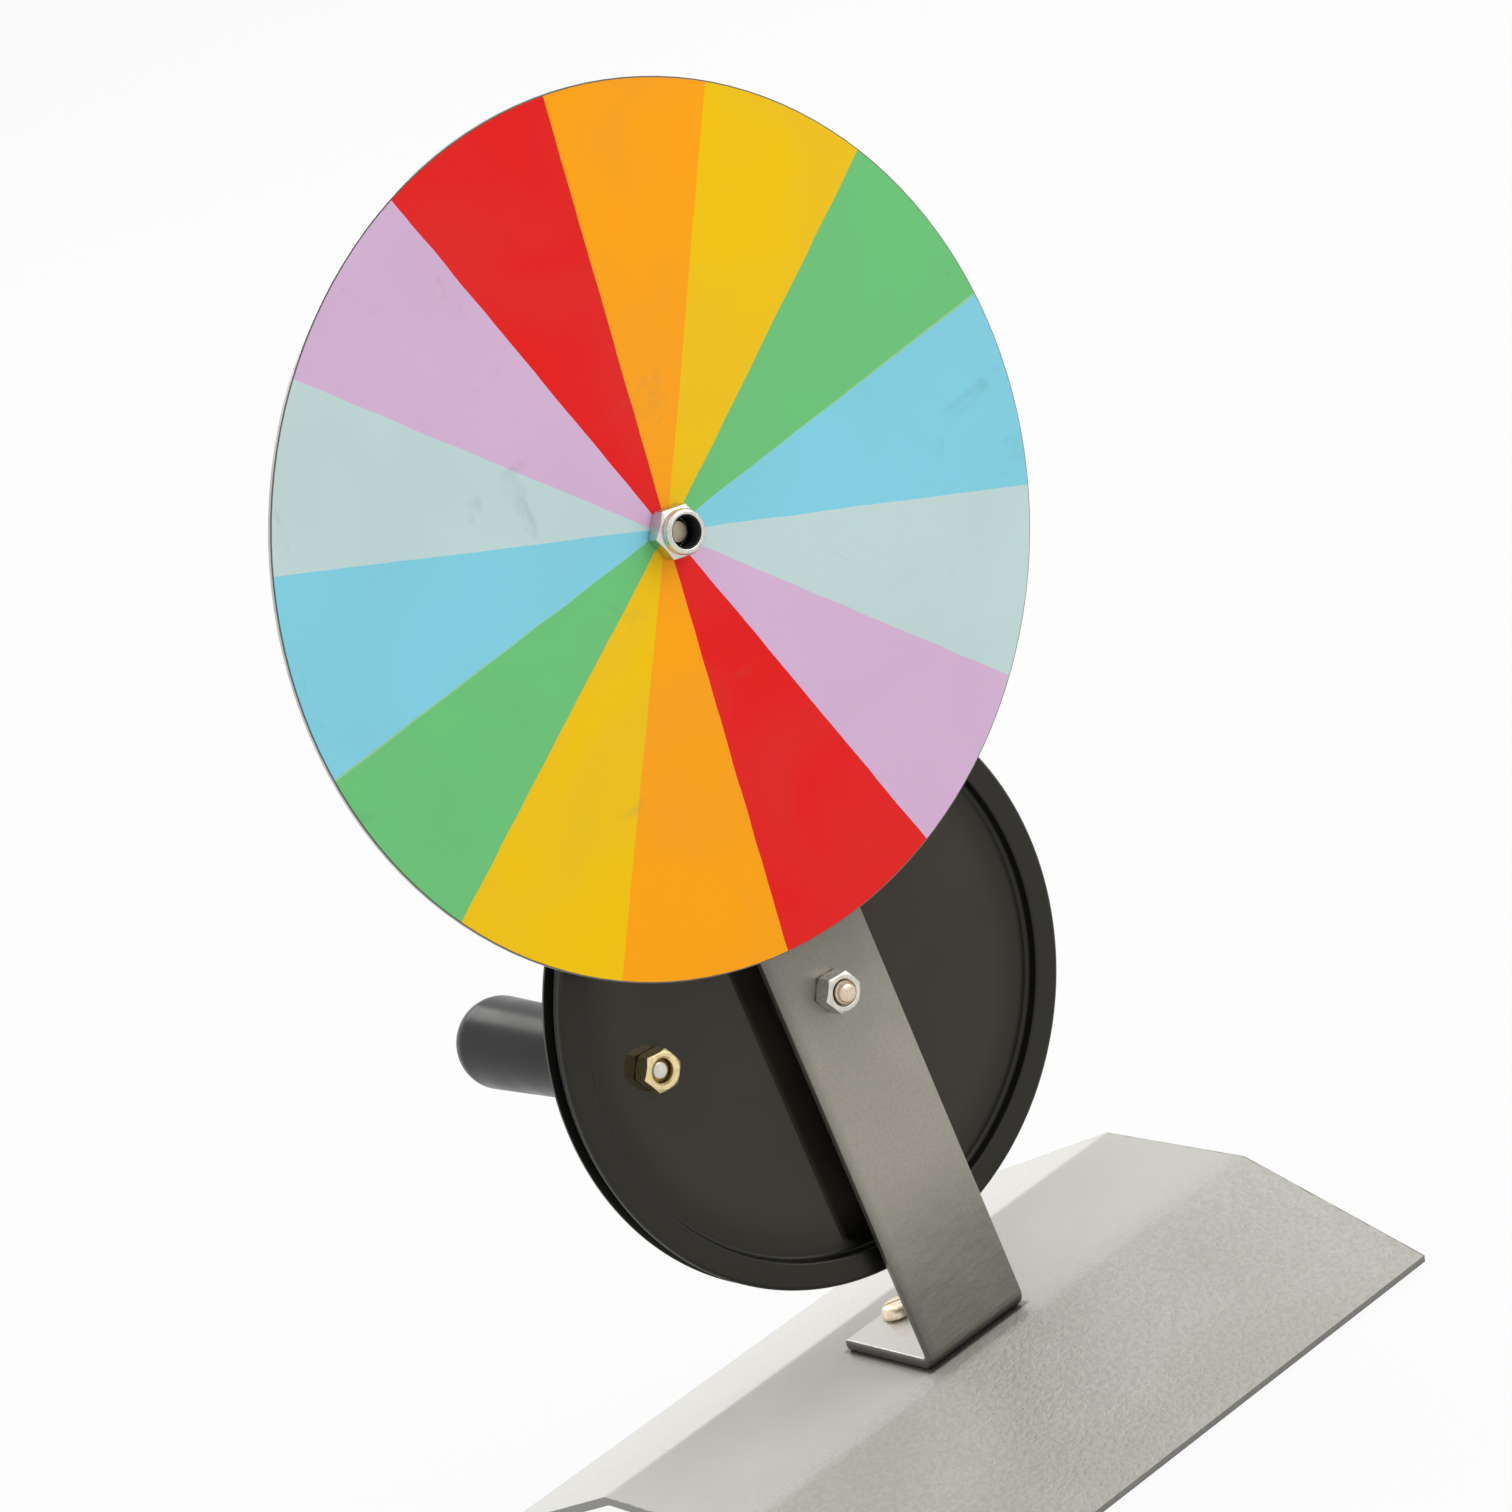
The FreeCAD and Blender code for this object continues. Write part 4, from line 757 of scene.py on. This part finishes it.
HUB_NUT_FRONT, HUB_NUT_SEAT = -37.7, -33.7
RING_BORE, SLEEVE_RADIUS, SLEEVE_END, RING_RADIUS = 3.05, 3.28, -35.05, 3.9
NYLON_BLUE = tint(8, 9, 17)
NYLON_BLUE_LIGHT = tint(17, 20, 38)
hub_nut = hex_bar("hub_nut_made", SPINDLE, SPINDLE_NUT_FLATS, HUB_NUT_FRONT, HUB_NUT_SEAT, 10)
shape_with(hub_nut, turned_piece("tap", SPINDLE, [
    (3.3, HUB_NUT_FRONT - 0.5), (3.3, -35), (RING_BORE, -35), (RING_BORE, HUB_NUT_SEAT + 0.5)]))
break_edges(hub_nut, 0.12)
collar = turned_piece("collar", SPINDLE, [
    (RING_RADIUS, -37.6), (RING_RADIUS, -39.3), (3.5, -39.42), (3.42, -39.55), (3.55, -39.67), (3.85, -39.7),
    (4.2, -39.63), (4.45, -39.42), (4.6, -39.1), (4.6, -38.75), (4.48, -38.65), (4.6, -38.55), (4.6, -37.6),
    (RING_RADIUS, -37.6)])
break_edges(collar, 0.05)
fit(joined(hub_nut, collar), "disc_spindle", "bright_zinc", bright_zinc, "hub_nut")
ring = turned_piece("nylon_ring_made", SPINDLE, [
    (RING_BORE, -39.1), (3.2, -39.35), (3.6, -39.4), (RING_RADIUS, -39.3), (RING_RADIUS, -37.72),
    (SLEEVE_RADIUS, -37.72), (SLEEVE_RADIUS, SLEEVE_END), (RING_BORE, SLEEVE_END), (RING_BORE, -39.1)])
break_edges(ring, 0.06)
nylon, tree, shader, place = new_finish("nylon", {"Specular IOR Level": 0.25}, SPINDLE)
cloud = use_effect(tree, soft_clouds, place, Scale=500.0)["Tone"]
feed(tree, shader, mixed(tree, cloud, NYLON_BLUE, NYLON_BLUE_LIGHT), ranged(tree, cloud, 0.0, 1.0, 0.35, 0.5))
fit(ring, "disc_spindle", "nylon", nylon, "nylon_ring")


# Table and studio: a plain pale floor, a large soft lamp from the right, one above, a smaller one
# behind, and a pale room all round.

def seen(tree):
    """1 for a ray that the camera, metal or glass sends out, else 0."""
    path = add(tree, "LightPath").outputs
    return reckon(tree, "MAXIMUM", reckon(tree, "MAXIMUM", path["Is Camera Ray"], path["Is Glossy Ray"]),
                  path["Is Transmission Ray"])


bpy.ops.object.select_all(action="DESELECT")
bpy.ops.mesh.primitive_circle_add(vertices=96, radius=14, fill_type="NGON", location=(0, 0, -0.0002))
floor = bpy.context.object
floor.name = "table_top"
table, tree, shader, place = new_finish(
    "table_white", {"Base Color": (0.86, 0.86, 0.85, 1), "Roughness": 0.9, "Specular IOR Level": 0.0})
glow = add(tree, "Emission", {"Color": (1, 1, 1, 1), "Strength": 1.0}).outputs[0]
both = add(tree, "MixShader", {0: reckon(tree, "MULTIPLY", seen(tree), 0.9), 1: shader.outputs[0],
                               2: glow}).outputs[0]
tree.links.new(both, tree.nodes["Material Output"].inputs["Surface"])
coat(floor, table)

room = bpy.data.worlds.new("studio_room")
room.use_nodes = True
tree = room.node_tree
tree.nodes.clear()
dim = add(tree, "Background", {"Color": (1.0, 0.99, 0.97, 1), "Strength": 0.62}).outputs[0]
white = add(tree, "Background", {"Color": (1, 1, 1, 1), "Strength": 1.0}).outputs[0]
both = add(tree, "MixShader", {0: seen(tree), 1: dim, 2: white}).outputs[0]
tree.links.new(both, add(tree, "OutputWorld").inputs["Surface"])
bpy.context.scene.world = room


def soft_lamp(name, place, aim, size, power, colour):
    """A large square lamp pointed at the object."""
    lamp = bpy.data.lights.new(name, "AREA")
    lamp.shape = "SQUARE"
    lamp.size = size
    lamp.energy = power
    lamp.color = colour
    holder = bpy.data.objects.new(name, lamp)
    holder.location = place
    holder.rotation_euler = (Vector(aim) - Vector(place)).to_track_quat("-Z", "Y").to_euler()
    bpy.context.scene.collection.objects.link(holder)


soft_lamp("key_lamp", (1.3, -1.4, 1.3), (0, 0, 0.15), 1.8, 22, (1.0, 0.98, 0.95))
soft_lamp("top_lamp", (-0.2, 0.3, 2.0), (0, 0, 0.1), 1.6, 7, (1.0, 0.99, 0.97))
soft_lamp("back_lamp", (0.15, 1.9, 1.35), (-0.04, 0.03, 0.11), 0.8, 7, (1.0, 0.98, 0.94))


# Camera: where the photograph was taken from, measured from the disc, wheel and base in it.
# A long lens from the front left and above, shifted a little to frame the object in the same place.

camera = bpy.data.objects.new("camera", bpy.data.cameras.new("camera"))
camera.data.sensor_width = 36
camera.data.lens = 115.29
camera.data.shift_x = 0.0120
camera.data.shift_y = -0.0098
camera.data.clip_start = 0.05
camera.data.clip_end = 60
camera.location = (-0.46321, -0.83090, 0.44931)
camera.rotation_euler = [math.radians(a) for a in (71.481, 21.865, -37.03)]
bpy.context.scene.collection.objects.link(camera)
bpy.context.scene.camera = camera
bpy.context.scene.view_settings.view_transform = "Standard"
